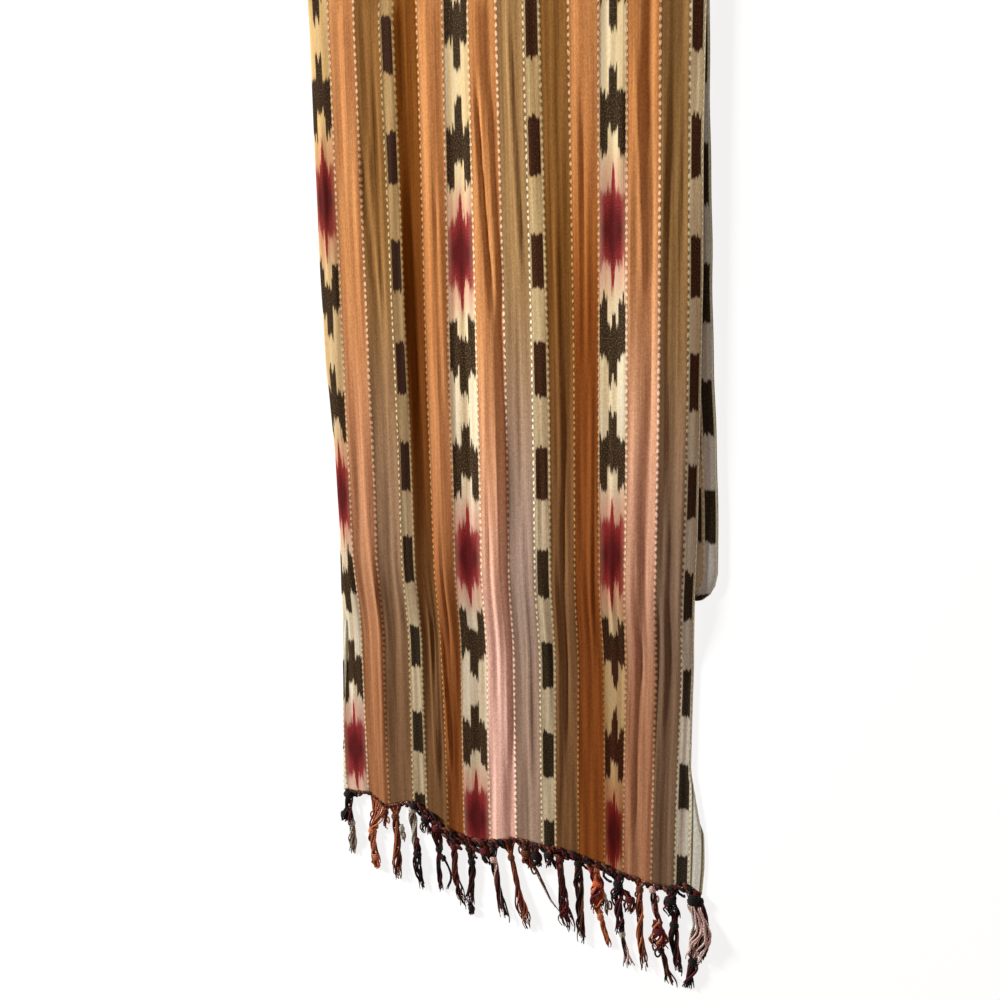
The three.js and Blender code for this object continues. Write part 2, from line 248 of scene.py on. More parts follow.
def paint_ramp(ramp: bpy.types.ColorRamp, stops: Sequence[tuple[float, str]], mode: str) -> None:
    """Fills a colour ramp.

    Args:
        ramp: The ramp.
        stops: Place and sRGB colour of each stop, in order.
        mode: How it passes from stop to stop.
    """
    ramp.interpolation = mode
    while len(ramp.elements) > 1:
        ramp.elements.remove(ramp.elements[-1])
    for i, (place, colour) in enumerate(stops):
        stop = ramp.elements[0] if i == 0 else ramp.elements.new(place)
        stop.position = place
        stop.color = linear(colour)


# ------------------------------------------------------------------------------- the stripes


class Stripe(Enum):
    """The kinds of lengthwise stripe, in the order that the cloth's colour ramps hold them."""

    ORANGE = 0
    TAN = 1
    WIDE_IKAT = 2
    NARROW_IKAT = 3
    SELVEDGE = 4


@dataclass(frozen=True)
class Band:
    """One stripe of the warp: kind, cut width, place of its pattern, and painted shade and light along
    it.

    Its shading value is painted shade and light: 1 keeps the stripe's own colour, less paints shade
    and more paints light, at the top fold, the middle and the hem. The lean is the hue of that painted
    shade, redder brown above 0 and cooler below it, in the upper part and in the lower one.
    """

    kind: Stripe
    width: float
    phase: float = 0.0
    tone: tuple[float, float, float] = (1.0, 1.0, 1.0)
    lean: tuple[float, float] = (0.0, 0.0)


@dataclass(frozen=True)
class StripeChart:
    """The warp's stripes from the left selvedge to the right one, and where each shows."""

    # Each stripe's shading values paint shade and light along it, and its lean paints the hue of that
    # shade.
    bands: tuple[Band, ...] = (
        Band(Stripe.SELVEDGE, 3.0, 188),
        Band(Stripe.WIDE_IKAT, 16.6, -8, (0.65, 0.60, 0.86), (0.3, 0.0)),
        Band(Stripe.ORANGE, 16.6, 0, (0.88, 0.86, 0.54), (-0.32, -0.6)),
        Band(Stripe.TAN, 17.4, 0, (0.69, 0.90, 0.59), (-0.15, -0.22)),
        Band(Stripe.NARROW_IKAT, 9.2, 190, (0.56, 0.40, 0.68), (0.24, 0.12)),
        Band(Stripe.TAN, 17.4, 0, (0.72, 0.50, 0.52), (0.68, -0.1)),
        Band(Stripe.ORANGE, 16.6, 0, (0.84, 0.74, 0.42), (-0.32, -0.05)),
        Band(Stripe.WIDE_IKAT, 16.6, -38, (0.80, 1.0, 0.73), (0.1, 0.05)),
        Band(Stripe.ORANGE, 16.6, 0, (0.98, 1.03, 1.25)),
        Band(Stripe.TAN, 17.4, 0, (1.0, 1.1, 0.95), (-0.22, 0.0)),
        Band(Stripe.NARROW_IKAT, 9.2, 193, (0.85, 0.95, 0.78), (0.18, 0.1)),
        Band(Stripe.TAN, 17.4, 0, (0.78, 0.64, 0.60), (0.06, 0.12)),
        Band(Stripe.ORANGE, 16.6, 0, (0.89, 0.42, 0.34), (-0.2, -0.02)),
        Band(Stripe.WIDE_IKAT, 16.6, -26, (0.74, 0.87, 0.48), (0.0, 0.46)),
        Band(Stripe.ORANGE, 16.6, 0, (0.83, 1.12, 0.63), (-0.2, -0.68)),
        Band(Stripe.TAN, 17.4, 0, (0.70, 0.74, 0.51), (-0.85, -1.15)),
        Band(Stripe.NARROW_IKAT, 9.2, 190, (1.36, 0.76, 0.88), (-0.1, -0.2)),
        Band(Stripe.SELVEDGE, 8.0, 190, (1.2, 0.9, 1.0)),
    )
    # Where along the cloth the painted shade and light take their values for the top, the middle and
    # the hem.
    painted_shading_at: tuple[float, float, float] = (230.0, 80.0, -150.0)
    # Where the lines between the stripes lie on the front fall: at the top, middle and hem.
    lines: tuple[tuple[float, float, float], ...] = (
        (-118.0, -120.2, -124.0),
        (-101.6, -103.8, -107.0),
        (-84.4, -85.7, -90.8),
        (-67.3, -66.9, -71.6),
        (-58.4, -58.2, -61.4),
        (-44.9, -47.1, -45.6),
        (-28.4, -31.4, -35.4),
        (-12.9, -13.2, -16.0),
        (2.6, 3.8, 2.2),
        (19.0, 22.0, 20.8),
        (27.4, 31.3, 30.2),
        (43.4, 46.0, 44.6),
        (60.0, 59.6, 61.4),
        (75.2, 76.6, 73.6),
        (92.4, 94.2, 91.4),
        (107.6, 110.3, 105.6),
        (114.6, 115.4, 114.2),
    )
    wide_repeat: float = 176.0
    narrow_repeat: float = 58.6

    @property
    def starts(self) -> np.ndarray:
        """Returns the cut place of each stripe's left edge, and of the last one's right edge."""
        return np.concatenate([[0.0], np.cumsum([b.width for b in self.bands])])

    @property
    def cut_width(self) -> float:
        """Returns the cloth's whole cut width."""
        return float(self.starts[-1])

    def columns(self, pitch: float) -> np.ndarray:
        """Returns cut places across the cloth, with one on each line between stripes.

        Args:
            pitch: About how far apart they are.

        Returns:
            The places, from the left selvedge to the right one.
        """
        places = [0.0]
        for band, start in zip(self.bands, self.starts):
            steps = max(2, round(band.width / pitch))
            places += [start + band.width * (i + 1) / steps for i in range(steps)]
        return np.array(places)

    def band_of(self, cut: np.ndarray) -> np.ndarray:
        """Returns the number of the stripe that holds each cut place."""
        return np.clip(np.searchsorted(self.starts, cut, side="right") - 1, 0, len(self.bands) - 1)


# ------------------------------------------------------------------------------- the cloth's form


@dataclass(frozen=True)
class Ripple:
    """A lengthwise swell: its crest at the top, middle and hem, its reach and its heights."""

    crest: tuple[float, float, float]
    left: float
    right: float
    height: tuple[float, float, float]


@dataclass(frozen=True)
class Crease:
    """A soft trough or ridge from one point to another, with its half width and height."""

    start: tuple[float, float]
    end: tuple[float, float]
    reach: float
    height: float


@dataclass(frozen=True)
class Pleat:
    """A fine ripple all over the cloth: its spacing, depth, slow drift and place."""

    length: float
    depth: float
    drift: float
    turn: float


@dataclass(frozen=True)
class FoldedForm:
    """The stack's sizes, and the height of the front fall over each place."""

    top_bend_y: float = 286.0
    fold_fade: float = 26.0
    stack: float = 5.6
    cloth: float = 1.4
    ramp_start_y: float = -104.0
    ramp_length: float = 64.0
    edge_droop: float = 1.5
    edge_band: float = 8.0
    crease_depth: float = 1.6
    crease_sway: float = 0.5
    crease_bends: float = 4.4
    softness: float = 0.35
    pleat_bands: tuple[float, float] = (37.0, 31.0)
    top_y: float = 276.0
    middle_y: float = 40.0
    hem_y: float = -222.0
    outline: tuple[tuple[float, float, float], ...] = (
        (290, -115.5, 114.4),
        (245, -116, 114.4),
        (188, -117.3, 114.5),
        (128, -118.5, 115.8),
        (69, -118.5, 116),
        (20, -115.4, 116),
        (-12, -115.4, 116),
        (-38, -115, 115.4),
        (-73, -118.7, 114.5),
        (-110, -121, 114.1),
        (-150, -123.5, 113.9),
        (-174, -125, 118.4),
        (-192, -126, 121.8),
        (-208, -127, 123.1),
        (-230, -127.5, 121.5),
    )
    hem: tuple[tuple[float, float], ...] = (
        (-128, -217),
        (-118.5, -216),
        (-106.5, -214),
        (-93, -220.5),
        (-80, -216),
        (-71, -211.5),
        (-62, -217),
        (-48, -226),
        (-31.5, -231.5),
        (-12.6, -227),
        (-1, -222.5),
        (22, -221),
        (42, -221.5),
        (57, -224.5),
        (73, -226.5),
        (91, -230),
        (100, -230),
        (112, -224),
        (123, -229.5),
    )
    ripples: tuple[Ripple, ...] = (
        Ripple((-107, -106, -113), 9, 12, (0.7, 1.2, 0.9)),
        Ripple((-91, -90, -95), 10, 17, (1.0, 1.4, 1.6)),
        Ripple((-66, -66, -70), 14, 17, (2.0, 2.4, 1.6)),
        Ripple((-59.5, -58.6, -61), 6, 8, (1.1, 1.4, 0.8)),
        Ripple((-37, -38, -51), 9, 16, (1.9, 2.3, 2.0)),
        Ripple((-9, -4.5, -8), 20, 8, (2.3, 2.8, 1.8)),
        Ripple((17, 20, 19), 14, 16, (1.5, 1.9, 1.2)),
        Ripple((27, 28, 27), 14, 32, (0.3, 1.7, 1.5)),
        Ripple((52, 50, 48), 8, 10, (1.2, 0.2, 0.1)),
        Ripple((78, 80.5, 77), 18, 10, (2.1, 2.6, 1.5)),
        Ripple((92, 92, 88), 6, 11, (1.0, 1.4, 1.0)),
        Ripple((108, 108.5, 105), 6, 8, (1.4, 1.9, 1.1)),
    )
    creases: tuple[Crease, ...] = (
        Crease((-83, 196), (-80, 112), 2.08, -0.9),
        Crease((-79, 214), (-75, 96), 2.24, 0.7),
        Crease((-74, 250), (-72, 60), 1.92, -0.5),
        Crease((-93, 120), (-91, -60), 2.56, 0.5),
        Crease((-98, 30), (-101, -170), 2.08, -0.45),
        Crease((-89, -20), (-94, -205), 2.4, 0.6),
        Crease((-76, 20), (-80, -120), 2.08, -0.6),
        Crease((-73, -50), (-77, -205), 2.08, 0.55),
        Crease((-65, 60), (-66, -70), 1.52, -0.45),
        Crease((-54, -60), (-53, -206), 1.76, 0.8),
        Crease((-50, -40), (-49, -212), 1.52, -0.7),
        Crease((-46, -70), (-43, -196), 1.6, 0.6),
        Crease((-37, 190), (-36, 40), 2.08, -0.5),
        Crease((-40, 60), (-41, -120), 1.76, -0.55),
        Crease((-22, 150), (-23, -30), 2.4, 0.4),
        Crease((-9, 240), (-3, 96), 2.24, -1.0),
        Crease((-3, 236), (1, 90), 2.08, 0.6),
        Crease((2, 150), (3, 36), 2.08, -0.9),
        Crease((-1, 70), (-2, -196), 2.0, 0.7),
        Crease((-8, 40), (-9, -150), 1.76, -0.45),
        Crease((9, 275), (16, 110), 2.24, 0.8),
        Crease((12, 130), (12, -30), 1.76, -0.55),
        Crease((7, 60), (6, -180), 1.92, -0.6),
        Crease((14, -20), (13, -210), 2.08, 0.6),
        Crease((36, 180), (38, -20), 2.24, 0.5),
        Crease((40, 60), (37, -190), 2.08, -0.6),
        Crease((34, 0), (33, -200), 1.92, 0.5),
        Crease((50, 240), (52, 60), 1.92, -0.5),
        Crease((56, 110), (54, -130), 1.76, 0.5),
        Crease((68, 140), (67, -110), 2.4, 0.35),
        Crease((80, 250), (85, 100), 2.08, 0.5),
        Crease((88, 210), (90, 20), 1.92, -0.5),
        Crease((98, 200), (99, 10), 1.92, -0.8),
        Crease((103, 250), (104, 40), 1.6, 0.6),
        Crease((100, 20), (96, -150), 1.92, 0.6),
        Crease((95, -30), (91, -205), 1.76, -0.6),
        Crease((101, -90), (100, -220), 1.92, -0.5),
        Crease((84, -60), (80, -215), 2.08, -0.5),
    )
    pleats: tuple[Pleat, ...] = (
        Pleat(4.3, 0.08, 53.0, 1.3),
        Pleat(5.9, 0.15, 71.0, 0.4),
        Pleat(7.9, 0.20, 113.0, 2.1),
        Pleat(12.3, 0.26, 164.0, 4.0),
    )

    def top_middle_hem(self, y: np.ndarray, values: tuple[float, float, float]) -> np.ndarray:
        """Returns a value that runs from the top fold by way of the middle to the hem.

        Args:
            y: Places along the scarf.
            values: The value at the top, middle and hem.

        Returns:
            The value at each place.
        """
        top, middle, hem = values
        up = smooth((y - self.middle_y) / (self.top_y - self.middle_y))
        down = smooth((self.middle_y - y) / (self.middle_y - self.hem_y))
        return middle + (top - middle) * up + (hem - middle) * down

    def rise(self, y: np.ndarray) -> np.ndarray:
        """Returns the height of the fall's underside over the floor, without its ripples."""
        return self.stack * smooth((y - self.ramp_start_y) / self.ramp_length)

    def below_fold(self, y: np.ndarray) -> np.ndarray:
        """Returns 0 at the top fold, where the cloth lies smooth, and 1 a little below it."""
        return smooth((self.top_bend_y - y) / self.fold_fade)

    def swell(self, x: np.ndarray, y: np.ndarray) -> np.ndarray:
        """Returns the height of the large ripples.

        Args:
            x: Places across the scarf.
            y: Places along it.

        Returns:
            The heights.
        """
        total = np.zeros(np.broadcast(x, y).shape)
        for r in self.ripples:
            off = x - self.top_middle_hem(y, r.crest)
            reach = np.where(off < 0, r.left, r.right)
            total = total + self.top_middle_hem(y, r.height) * crest(off / reach)
        return total * self.below_fold(y)

    def crease_height(self, c: Crease, x: np.ndarray, y: np.ndarray) -> np.ndarray:
        """Returns one crease's height: it eases in and out, and strays a little sideways.

        Args:
            c: The crease.
            x: Places across the scarf.
            y: Places along it.

        Returns:
            The heights.
        """
        t = np.clip((y - c.start[1]) / (c.end[1] - c.start[1]), 0, 1)
        sway = self.crease_sway * np.sin(self.crease_bends * t + c.start[0])
        off = x - (c.start[0] + (c.end[0] - c.start[0]) * t) - sway
        ends = smooth(4 * t) * smooth(4 * (1 - t))
        return self.crease_depth * c.height * crest(off / c.reach) * ends

    def pleat_height(self, p: Pleat, x: np.ndarray, y: np.ndarray) -> np.ndarray:
        """Returns one fine ripple's height, stronger in some places than in others.

        Args:
            p: The pleat.
            x: Places across the scarf.
            y: Places along it.

        Returns:
            The heights.
        """
        along, across = self.pleat_bands
        wander = 0.35 * np.sin(y / p.drift + p.turn) + 0.2 * np.sin(y / along + 2 * p.turn)
        strength = 0.6 + 0.4 * np.sin(y / (p.drift * 0.7) + x / across + p.turn)
        return p.depth * strength * np.sin(2 * math.pi * (x / p.length + wander) + p.turn)

    def relief(self, x: np.ndarray, y: np.ndarray) -> np.ndarray:
        """Returns the height of ripples, creases and pleats together, eased above zero.

        Args:
            x: Places across the scarf.
            y: Places along it.

        Returns:
            The heights.
        """
        total = self.swell(x, y)
        for crease in self.creases:
            total = total + self.crease_height(crease, x, y)
        for pleat in self.pleats:
            total = total + self.pleat_height(pleat, x, y)
        return 0.5 * self.below_fold(y) * (total + np.sqrt(total**2 + self.softness**2))

    def droop(self, x: np.ndarray, y: np.ndarray, left: np.ndarray, right: np.ndarray) -> np.ndarray:
        """Returns how far the side edges sink beside the stack.

        Args:
            x: Places across the scarf.
            y: Places along it.
            left: The left edge.
            right: The right edge.

        Returns:
            How far each place sinks.
        """
        k = np.clip(1 - np.minimum(x - left, right - x) / self.edge_band, 0, 1)
        return self.edge_droop * k * k * (self.rise(y) / self.stack) * self.below_fold(y)


# ------------------------------------------------------------------------------- cloth meshes


@dataclass
class Sheet:
    """A grid of points on the outer face of a cloth, with its cut places."""

    points: np.ndarray
    cut: np.ndarray
    along: np.ndarray
    thickness: float = 0.8
    floor_gap: float = 0.02

    def normals(self) -> np.ndarray:
        """Returns the outward normal at each point."""
        across = np.gradient(self.points, axis=1)
        up = np.gradient(self.points, axis=0)
        n = np.cross(across, up)
        return n / np.maximum(np.linalg.norm(n, axis=2, keepdims=True), 1e-9)

    def build(self, name: str, chart: StripeChart, finish: bpy.types.Material) -> bpy.types.Object:
        """Makes the closed thin shell, with its cut and stripe coordinates.

        Args:
            name: The piece's name.
            chart: The stripes of the cloth.
            finish: The cloth's material.

        Returns:
            The new object.
        """
        rows, cols = self.cut.shape
        inner = self.points - self.normals() * self.thickness
        inner[..., 2] = np.maximum(inner[..., 2], self.floor_gap)
        places = np.concatenate([self.points.reshape(-1, 3), inner.reshape(-1, 3)]) * MM
        half = rows * cols
        number = np.arange(half).reshape(rows, cols)
        square = (number[:-1, :-1], number[:-1, 1:], number[1:, 1:], number[1:, :-1])
        outer_faces = np.stack([n.ravel() for n in square], 1)
        inner_faces = outer_faces[:, ::-1] + half
        rim = [
            np.stack([edge[:-1], edge[1:], edge[1:] + half, edge[:-1] + half], 1)
            for edge in (number[0, ::-1], number[-1], number[:, 0], number[::-1, -1])
        ]
        faces = np.concatenate([outer_faces, inner_faces, *rim])
        mesh = bpy.data.meshes.new(name)
        mesh.from_pydata(places.tolist(), [], faces.tolist())
        mesh.polygons.foreach_set("use_smooth", [True] * len(faces))
        corner = faces.ravel()
        cut, along = (np.tile(v.ravel(), 2)[corner].reshape(-1, 4) for v in (self.cut, self.along))
        self._write_stripes(mesh, chart, cut, along)
        self._write_bake_map(mesh, corner, len(outer_faces), rows, cols)
        mesh.materials.append(finish)
        mesh.update()
        return add_object(name, mesh)

    @staticmethod
    def _write_map(mesh: bpy.types.Mesh, name: str, u: np.ndarray, v: np.ndarray) -> None:
        """Writes a pair of coordinates at each corner."""
        layer = mesh.uv_layers.new(name=name, do_init=False)
        layer.uv.foreach_set("vector", np.stack([u, v], -1).ravel().astype(np.float32))

    @classmethod
    def _write_stripes(
        cls, mesh: bpy.types.Mesh, chart: StripeChart, cut: np.ndarray, along: np.ndarray
    ) -> None:
        """Writes each corner's place in the cut, in its stripe and in the stripe's repeat.

        Args:
            mesh: The sheet's mesh.
            chart: Its stripes.
            cut: Each corner's place across the cut.
            along: Each corner's place along it.
        """
        bands = chart.bands
        band = chart.band_of(cut.mean(1))
        width = np.array([b.width for b in bands])[band][:, None]
        kind = np.array([b.kind.value for b in bands])[band][:, None]
        phase = np.array([b.phase for b in bands])[band][:, None]
        # Painted shade and light along each stripe, and the painted hue of that shade.
        top, middle, hem = np.array([b.tone for b in bands])[band].T[..., None]
        upper, lower = np.array([b.lean for b in bands])[band].T[..., None]
        across = (cut - chart.starts[band][:, None]) / width
        repeat = np.where(kind == Stripe.WIDE_IKAT.value, chart.wide_repeat, chart.narrow_repeat)
        turns = np.round((along.mean(1, keepdims=True) - phase) / repeat)
        # Floats are warm along a line with an orange stripe on either side, and pale elsewhere.
        next_band = np.clip(np.where(across.mean(1) < 0.5, band - 1, band + 1), 0, len(bands) - 1)
        is_orange = np.array([b.kind is Stripe.ORANGE for b in bands])
        warm = (is_orange[band] | is_orange[next_band])[:, None]
        top_y, middle_y, hem_y = chart.painted_shading_at
        above = smooth((along - middle_y) / (top_y - middle_y))
        below = smooth((middle_y - along) / (middle_y - hem_y))
        values = {
            "across": across,
            "width": width,
            "kind": kind,
            "repeat": along - (phase + turns * repeat),
            "warm": warm,
            "tone": middle + (top - middle) * above + (hem - middle) * below,
            "lean": upper + (lower - upper) * below,
        }
        for name, value in values.items():
            layer = mesh.attributes.new(name, "FLOAT", "CORNER")
            layer.data.foreach_set("value", (value * np.ones((1, 4))).ravel().astype(np.float32))
        cls._write_map(mesh, "Cut", cut, along)

    @classmethod
    def _write_bake_map(
        cls, mesh: bpy.types.Mesh, corner: np.ndarray, outer: int, rows: int, cols: int
    ) -> None:
        """Lays the outer face, the inner face and the rim apart in a map for textures.

        Args:
            mesh: The sheet's mesh.
            corner: The point at each corner.
            outer: How many faces are on the outer side.
            rows: Rows in the sheet.
            cols: Columns in the sheet.
        """
        margin, face_width, inner_start, face_height = 0.004, 0.484, 0.512, 0.972
        rim_width, rim_start, rim_step = 0.9, 0.984, 0.006
        place = corner % (rows * cols)
        u = (place % cols) / (cols - 1)
        v = (place // cols) / (rows - 1)
        face = np.repeat(np.arange(len(corner) // 4), 4)
        at_u = np.where(face < outer, margin, inner_start) + face_width * u
        at_v = margin + face_height * v
        rim = face >= 2 * outer
        at_u = np.where(rim, margin + rim_width * (u + v) / 2, at_u)
        lift = np.where(corner >= rows * cols, margin / 2, 0.0)
        at_v = np.where(rim, rim_start + lift + rim_step * (np.abs(u - 0.5) > 0.49), at_v)
        cls._write_map(mesh, "OFBake", at_u, at_v)


@dataclass
class FrontFall:
    """The stretch that shows: hem to top fold, with both side edges turned under."""

    form: FoldedForm
    chart: StripeChart
    column_pitch: float = 1.2
    row_pitch: float = 3.4
    hem_rows: int = 14
    fold_rows: int = 12
    return_rows: int = 3
    straight_y: float = -196.0
    roll: float = 0.75
    open_roll: float = 2.5  # how much wider the turn is where the edge lies open
    full_turn: float = 2.0  # how much cut is under an edge that is turned all the way
    edge_room: float = 6.0
    lowest: float = 0.04
    cloth_height: float = 0.82
    lift_floor: float = 0.86
    lift_stack: float = 1.2
    return_length: float = 3.6
    # How much of the cut lies past the visible edge, from the top fold down to the hem.
    left_under: tuple[tuple[float, float], ...] = (
        (290, 4.4),
        (128, 3.6),
        (20, 6.4),
        (-40, 6.0),
        (-110, 4.0),
        (-160, 2.4),
        (-225, 0.0),
    )
    right_under: tuple[tuple[float, float], ...] = (
        (290, 7.4),
        (-150, 7.2),
        (-174, 3.6),
        (-192, 0.6),
        (-208, 0.0),
        (-230, 0.0),
    )

    def stations(self) -> list[tuple[float, float]]:
        """Returns (share of the hem's line, y) of each row up to the top fold."""
        rows = [(1 - i / self.hem_rows, self.straight_y) for i in range(self.hem_rows)]
        length = self.form.top_bend_y - self.straight_y
        count = round(length / self.row_pitch)
        return rows + [(0.0, self.straight_y + length * i / count) for i in range(count + 1)]

    def row(self, hemward: float, y0: float, cut: np.ndarray) -> tuple[np.ndarray, np.ndarray]:
        """Lays one row of the cloth, with its edges turned under.

        Args:
            hemward: 1 at the hem and 0 where rows run straight.
            y0: The row's place where it runs straight.
            cut: The cut places across the row.

        Returns:
            The points of the row and their places along the cloth.
        """
        form, chart = self.form, self.chart
        at = y0 + (form.hem_y - y0) * hemward
        left, right = read(form.outline, at, 1), read(form.outline, at, 2)
        under_l, under_r = read(self.left_under, at), read(self.right_under, at)
        turned_l, turned_r = (np.clip(u / self.full_turn, 0, 1) for u in (under_l, under_r))
        bend_l, bend_r = (self.roll + self.open_roll * (1 - t) for t in (turned_l, turned_r))
        # Cut places of the points where the turned edges begin.
        start_l = under_l + turned_l * bend_l * math.pi / 2
        start_r = chart.cut_width - under_r - turned_r * bend_r * math.pi / 2
        lines = np.array([form.top_middle_hem(np.array(at), line) for line in chart.lines])
        known_cut = chart.starts[1:-1]
        x_l, x_r = left + bend_l * turned_l, right - bend_r * turned_r
        keep = (known_cut > start_l + 2) & (known_cut < start_r - 0.6)
        knots = np.concatenate([[start_l], known_cut[keep], [start_r]])
        spots = np.concatenate([[x_l], np.minimum(lines[keep], x_r - 0.4), [x_r]])
        x = np.interp(np.clip(cut, start_l, start_r), knots, spots)
        y = y0 + (read(form.hem, x) - y0) * hemward
        lift = self.lift_floor + (self.lift_stack - self.lift_floor) * form.rise(y) / form.stack
        z = form.rise(y) + form.relief(x, y) - form.droop(x, y, left, right) + lift
        # The turned edges need room under them.
        for edge, turned in ((left, turned_l), (right, turned_r)):
            near = smooth(1 - np.abs(x - edge) / self.edge_room)
            z = z + np.maximum(0, 2 * self.roll + 0.3 - z) * near * turned
        for over, bend, turned, way in (
            (np.maximum(start_l - cut, 0), bend_l, turned_l, -1),
            (np.maximum(cut - start_r, 0), bend_r, turned_r, 1),
        ):
            angle = np.minimum(over / bend, math.pi) * np.sign(turned)
            past = np.maximum(over - math.pi * bend, 0)
            x = x + way * (bend * np.sin(angle) - past) * (over > 0)
            z = z - bend * (1 - np.cos(angle)) * (over > 0)
            z = np.maximum(z, self.lowest + self.cloth_height * np.maximum(np.cos(angle), 0))
        return np.stack([x, y, z], 1), y

    def sheet(self) -> Sheet:
        """Returns the whole stretch, round the top fold and a little way under it."""
        form = self.form
        cut = self.chart.columns(self.column_pitch)
        points, along = [], []
        for hemward, y0 in self.stations():
            row, places = self.row(hemward, y0, cut)
            points.append(row)
            along.append(places)
        last, middle = points[-1], (form.stack + form.cloth) / 2
        radius = last[:, 2] - middle
        for k in range(1, self.fold_rows + 1):
            turn = math.pi * k / self.fold_rows
            row = last.copy()
            row[:, 1] = form.top_bend_y + radius * math.sin(turn)
            row[:, 2] = middle + radius * math.cos(turn)
            points.append(row)
            along.append(np.full_like(radius, form.top_bend_y + middle * turn))
        for _ in range(self.return_rows):
            row = points[-1].copy()
            row[:, 1] -= self.return_length / self.return_rows
            points.append(row)
            along.append(along[-1] + self.return_length / self.return_rows)
        grid = np.array(points)
        grid[..., 2] = np.maximum(grid[..., 2], self.lowest)
        return Sheet(grid, np.tile(cut, (len(points), 1)), np.array(along))


@dataclass
class Hairpin:
    """Two layers of the cloth lying on each other, joined by a rounded loop end."""

    chart: StripeChart
    bottom: float
    top: float
    loop_y: float
    end_y: float
    left: float
    outline: tuple[tuple[float, float], ...]
    offset: float
    column_pitch: float = 4.0
    wave: float = 0.35
    sag: float = 0.16
    sag_start: float = 12.0
    cloth: float = 0.7
    lower_rows: int = 44
    loop_rows: int = 12
    upper_rows: int = 90

    def sheet(self) -> Sheet:
        """Returns the sheet from the top end of its lower layer to that of its upper layer."""
        cut = self.chart.columns(self.column_pitch)
        share = cut / cut[-1]
        middle, radius = (self.bottom + self.top) / 2, (self.top - self.bottom) / 2
        under, over = -math.pi / 2, math.pi / 2
        path = [(y, under) for y in np.linspace(self.end_y, self.loop_y, self.lower_rows)[:-1]]
        path += [(self.loop_y, under - math.pi * k / self.loop_rows) for k in range(self.loop_rows)]
        path += [(y, over) for y in np.linspace(self.loop_y, self.end_y, self.upper_rows)]
        points, along, walked, before = [], [], 0.0, None
        for start_y, angle in path:
            y = start_y + radius * math.cos(angle)
            z = np.full_like(cut, middle + radius * math.sin(angle))
            here = (y, float(z[0]))
            edge = self.wave * (math.sin(y / 19) + 0.6 * math.sin(y / 7.3 + 1))
            x = self.left + 0.4 * edge + (read(self.outline, y) + 0.3 * edge - self.left) * share
            if angle == over:
                sag = self.sag * smooth((y - self.loop_y) / self.sag_start)
                z = z - sag * (1 + np.sin(x / 4.1 + y / 60))
            points.append(np.stack([x, np.full_like(x, y), z], 1))
            walked += math.dist(here, before) if before else 0.0
            before = here
            along.append(np.full_like(x, walked))
        along_grid = np.array(along) + (self.offset - walked)
        return Sheet(np.array(points), np.tile(cut, (len(points), 1)), along_grid, self.cloth)


# ------------------------------------------------------------------------------- finishes


@dataclass(frozen=True)
class Cut:
    """What a sheet's corners say of their place, as the cloth's material reads it.

    The u runs across the cut and the v along it, in millimetres. The others are the stripe's own:
    place across it, width, kind, place in its repeat, warmth of its floats, its painted shade and
    light, and the lean that gives the painted shade its hue.
    """

    tree: bpy.types.NodeTree
    u: Field
    v: Field
    across: Field
    width: Field
    kind: Field
    repeat: Field
    warm: Field
    tone: Field
    lean: Field

    @classmethod
    def of(cls, tree: bpy.types.NodeTree) -> Cut:
        """Adds the nodes that read a sheet's coordinates.

        Args:
            tree: The material's node tree.

        Returns:
            The coordinates.
        """
        place = add_node(tree, "ShaderNodeUVMap", uv_map="Cut")
        split = add_node(tree, "ShaderNodeSeparateXYZ", {0: place.outputs[0]})
        keys = ("across", "width", "kind", "repeat", "warm", "tone", "lean")
        nodes = {key: add_node(tree, "ShaderNodeAttribute", attribute_name=key) for key in keys}
        stripe = {key: Field(node.outputs["Fac"]) for key, node in nodes.items()}
        return cls(tree, Field(split.outputs["X"]), Field(split.outputs["Y"]), **stripe)

    def from_kind(self, kind: Stripe) -> Field:
        """Returns 1 on stripes of this kind and of those after it, and 0 on the others."""
        return self.kind.rise(kind.value - 0.5, kind.value - 0.4)

    def side(self) -> Field:
        """Returns 0 along a stripe's middle and 1 along its edges."""
        return abs(self.across - 0.5) * 2.0


@dataclass(frozen=True)
class Grain:
    """Noise drawn out along the warp: its patches in a millimetre across and along, and a seed."""

    across: float
    along: float
    detail: float
    seed: float

    def over(self, cut: Cut) -> Field:
        """Returns the noise over the cut, from 0 to 1.

        Args:
            cut: The sheet's coordinates.

        Returns:
            The noise.
        """
        x, y = cut.u * self.across + self.seed, cut.v * self.along
        place = add_node(cut.tree, "ShaderNodeCombineXYZ", {"X": x, "Y": y, "Z": self.seed})
        inputs = {"Vector": place.outputs[0], "Scale": 1.0, "Detail": self.detail, "Roughness": 0.6}
        return Field(add_node(cut.tree, "ShaderNodeTexNoise", inputs).outputs["Fac"])


